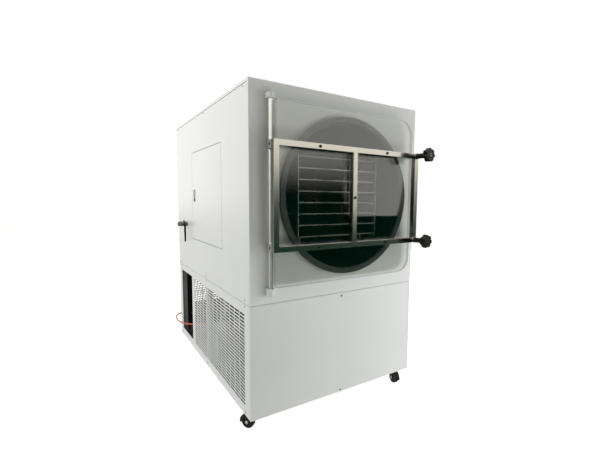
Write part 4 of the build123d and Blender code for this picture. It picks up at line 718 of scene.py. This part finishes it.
class FREEZEDRYER_OT_stage(bpy.types.Operator):
    """Set up the camera, the lamps, the white surroundings and the floor"""

    bl_idname = "freeze_dryer.stage"
    bl_label = "Stage"

    def execute(self, context):
        scene = context.scene
        self.add_camera(scene)
        self.add_world(scene)
        self.add_floor(scene)
        for lamp in LAMPS:
            self.add_lamp(scene, *lamp)
        scene.view_settings.view_transform = "Standard"
        return {"FINISHED"}

    def add_camera(self, scene):
        """Camera off the front left corner, above the machine's middle height."""
        camera = bpy.data.cameras.new("camera")
        camera.lens = CAMERA_LENS
        camera.sensor_width = CAMERA_SENSOR
        camera.shift_x, camera.shift_y = CAMERA_SHIFT
        camera.clip_end = 60.0
        seat = bpy.data.objects.new("camera", camera)
        scene.collection.objects.link(seat)
        level = cos(CAMERA_PITCH)
        ahead = Vector((sin(CAMERA_AZIMUTH) * level, cos(CAMERA_AZIMUTH) * level, sin(CAMERA_PITCH)))
        right = Vector((cos(CAMERA_AZIMUTH), -sin(CAMERA_AZIMUTH), 0))
        up = right.cross(ahead)
        rolled_right = right * cos(CAMERA_ROLL) + up * sin(CAMERA_ROLL)
        rolled_up = up * cos(CAMERA_ROLL) - right * sin(CAMERA_ROLL)
        turn = Matrix((rolled_right, rolled_up, -ahead)).transposed().to_4x4()
        seat.matrix_world = Matrix.Translation(Vector((LEFT, FRONT, UNDERSIDE)) + CAMERA_OFFSET) @ turn
        scene.camera = seat

    def add_world(self, scene):
        """Surroundings: white to the eye and through glass, soft light on matt surfaces, and a room in
        polished ones."""
        world = bpy.data.worlds.new("surroundings")
        world.use_nodes = True
        tree = world.node_tree
        tree.nodes.clear()
        seen, unreflected = self.path_kinds(tree)
        soft = add_node(tree, "ShaderNodeBackground", {"Color": AMBIENT_TINT, "Strength": AMBIENT})
        white = add_node(tree, "ShaderNodeBackground", {"Color": WHITE, "Strength": 1.0})
        room = add_node(tree, "ShaderNodeBackground", {"Color": self.room(tree), "Strength": 1.0})
        mirrored = add_node(tree, "ShaderNodeMixShader", {"Fac": unreflected, 1: room.outputs[0],
                                                          2: white.outputs[0]})
        mix = add_node(tree, "ShaderNodeMixShader", {"Fac": seen, 1: soft.outputs[0],
                                                     2: mirrored.outputs[0]})
        add_node(tree, "ShaderNodeOutputWorld", {"Surface": mix.outputs[0]})
        scene.world = world

    def path_kinds(self, tree):
        """Two shares: 1 for a traced ray that has met only clear or polished surfaces, and 1 for a ray
        that was never reflected."""
        path = add_node(tree, "ShaderNodeLightPath")
        first = add_node(tree, "ShaderNodeMath", {0: path.outputs["Is Camera Ray"],
                                                  1: path.outputs["Is Glossy Ray"]}, operation="MAXIMUM")
        traced = add_node(tree, "ShaderNodeMath", {0: first.outputs[0],
                                                   1: path.outputs["Is Transmission Ray"]},
                          operation="MAXIMUM")
        seen = add_node(tree, "ShaderNodeMath", {0: traced.outputs[0], 1: path.outputs["Diffuse Depth"]},
                        operation="SUBTRACT", use_clamp=True)
        unreflected = add_node(tree, "ShaderNodeMath", {0: path.outputs["Glossy Depth"], 1: 0.5},
                               operation="LESS_THAN")
        return seen.outputs[0], unreflected.outputs[0]

    def smooth_step(self, tree, value, low, high):
        """0 below low, 1 above high and a soft step between them."""
        step = add_node(tree, "ShaderNodeMapRange", {"Value": value, "From Min": low, "From Max": high},
                        interpolation_type="SMOOTHSTEP")
        return step.outputs["Result"]

    def room(self, tree):
        """Colour of the room that polished parts mirror. Its walls are bright above the head height of
        a dim lower part, and one bright stretch of wall reaches down beside the door's mullion."""
        ray = add_node(tree, "ShaderNodeTexCoord").outputs["Generated"]
        parts = add_node(tree, "ShaderNodeSeparateXYZ", {"Vector": ray})
        ahead = add_node(tree, "ShaderNodeMath", {0: parts.outputs["Y"], 1: -1.0}, operation="MULTIPLY")
        ahead = add_node(tree, "ShaderNodeMath", {0: ahead.outputs[0], 1: 0.001}, operation="MAXIMUM")
        slope = add_node(tree, "ShaderNodeMath", {0: parts.outputs["X"], 1: ahead.outputs[0]},
                         operation="DIVIDE")
        begins = self.smooth_step(tree, slope.outputs[0], *WALL_BEGINS)
        ends = self.smooth_step(tree, slope.outputs[0], *WALL_ENDS)
        band = add_node(tree, "ShaderNodeMath", {0: begins, 1: ends}, operation="SUBTRACT")
        behind = self.smooth_step(tree, parts.outputs["Y"], -0.2, 0.2)
        drop = add_node(tree, "ShaderNodeMath", {0: band.outputs[0], 1: behind}, operation="MAXIMUM")
        edge = add_node(tree, "ShaderNodeMath", {0: drop.outputs[0], 1: WALL_DROP, 2: WALL_EDGE},
                        operation="MULTIPLY_ADD")
        above = add_node(tree, "ShaderNodeMath", {0: parts.outputs["Z"], 1: edge.outputs[0]},
                         operation="SUBTRACT")
        blur = add_node(tree, "ShaderNodeMath", {0: drop.outputs[0], 1: BLUR_DROP, 2: BLUR},
                        operation="MULTIPLY_ADD")
        steps = add_node(tree, "ShaderNodeMath", {0: above.outputs[0], 1: blur.outputs[0]},
                         operation="DIVIDE")
        lit = self.smooth_step(tree, steps.outputs[0], -1.0, 1.0)
        shapes = add_node(tree, "ShaderNodeTexNoise", {"Vector": ray, "Scale": 5.0, "Detail": 2.0})
        share = self.smooth_step(tree, shapes.outputs["Fac"], 0.45, 0.62)
        dim = add_node(tree, "ShaderNodeMix", {"Factor": share, "A": DIM_ROOM, "B": DIM_SHAPES},
                       data_type="RGBA")
        mix = add_node(tree, "ShaderNodeMix", {"Factor": lit, "A": dim.outputs["Result"],
                                               "B": BRIGHT_WALL}, data_type="RGBA")
        return mix.outputs["Result"]

    def add_floor(self, scene):
        """Pale floor that keeps the machine's shadow."""
        mesh = bpy.data.meshes.new("floor")
        corners = [(x * FLOOR_REACH, y * FLOOR_REACH, 0) for x, y in ((-1, -1), (1, -1), (1, 1), (-1, 1))]
        mesh.from_pydata(corners, [], [(0, 1, 2, 3)])
        floor = bpy.data.objects.new("floor", mesh)
        scene.collection.objects.link(floor)
        material, tree, place = start_material("studio_floor")
        seen, unreflected = self.path_kinds(tree)
        matt = add_node(tree, "ShaderNodeBsdfDiffuse", {"Color": FLOOR_TINT})
        glow = add_node(tree, "ShaderNodeEmission", {"Color": WHITE, "Strength": FLOOR_GLOW})
        both = add_node(tree, "ShaderNodeAddShader", {0: glow.outputs[0], 1: matt.outputs[0]})
        parts = add_node(tree, "ShaderNodeSeparateXYZ", {"Vector": place})
        beside = self.smooth_step(tree, parts.outputs["Y"], FRONT - 0.5, FRONT + 0.1)
        tint = add_node(tree, "ShaderNodeMix", {"Factor": beside, "A": DARK_FLOOR, "B": PALE_FLOOR},
                        data_type="RGBA")
        image = add_node(tree, "ShaderNodeEmission", {"Color": tint.outputs["Result"], "Strength": 1.0})
        mirrored = add_node(tree, "ShaderNodeMixShader", {"Fac": unreflected, 1: image.outputs[0],
                                                          2: both.outputs[0]})
        mix = add_node(tree, "ShaderNodeMixShader", {"Fac": seen, 1: matt.outputs[0],
                                                     2: mirrored.outputs[0]})
        finish_material(tree, mix)
        mesh.materials.append(material)

    def add_lamp(self, scene, name, place, target, width, height, watts):
        """Soft box that lights surfaces but isn't seen itself."""
        lamp = bpy.data.lights.new(name, "AREA")
        lamp.shape = "RECTANGLE"
        lamp.size = width
        lamp.size_y = height
        lamp.energy = watts
        holder = bpy.data.objects.new(name, lamp)
        scene.collection.objects.link(holder)
        facing = (Vector(target) - Vector(place)).to_track_quat("-Z", "Y").to_matrix().to_4x4()
        holder.matrix_world = Matrix.Translation(place) @ facing
        holder.visible_camera = False
        holder.visible_glossy = False
        holder.visible_transmission = False


class FREEZEDRYER_PT_panel(bpy.types.Panel):
    """Buttons for the finishes, the pieces and the stage"""

    bl_idname = "FREEZEDRYER_PT_panel"
    bl_label = "Freeze dryer"
    bl_space_type = "VIEW_3D"
    bl_region_type = "UI"
    bl_category = "Freeze dryer"

    def draw(self, context):
        """One button for each operator, then every colour and size."""
        for operator in OPERATORS:
            self.layout.operator(operator.bl_idname)
        for settings in (context.scene.dryer_colours, context.scene.dryer_sizes):
            for name in settings.__annotations__:
                self.layout.prop(settings, name)


OPERATORS = (
    FREEZEDRYER_OT_finishes,
    FREEZEDRYER_OT_knobs,
    FREEZEDRYER_OT_castors,
    FREEZEDRYER_OT_panel_screws,
    FREEZEDRYER_OT_door_screws,
    FREEZEDRYER_OT_hose,
    FREEZEDRYER_OT_stage,
)
CLASSES = (DryerColours, DryerSizes, *OPERATORS, FREEZEDRYER_PT_panel)


def register():
    """Adds the classes, and the settings that they share, to Blender."""
    for made in CLASSES:
        bpy.utils.register_class(made)
    bpy.types.Scene.dryer_colours = PointerProperty(type=DryerColours)
    bpy.types.Scene.dryer_sizes = PointerProperty(type=DryerSizes)


def unregister():
    """Takes them away again."""
    del bpy.types.Scene.dryer_sizes
    del bpy.types.Scene.dryer_colours
    for made in reversed(CLASSES):
        bpy.utils.unregister_class(made)


def main():
    """Finishes the machine."""
    register()
    bpy.ops.freeze_dryer.finishes()
    bpy.ops.freeze_dryer.knobs()
    bpy.ops.freeze_dryer.castors()
    bpy.ops.freeze_dryer.panel_screws()
    bpy.ops.freeze_dryer.door_screws()
    bpy.ops.freeze_dryer.hose()
    bpy.ops.freeze_dryer.stage()


if __name__ == "__main__":
    main()
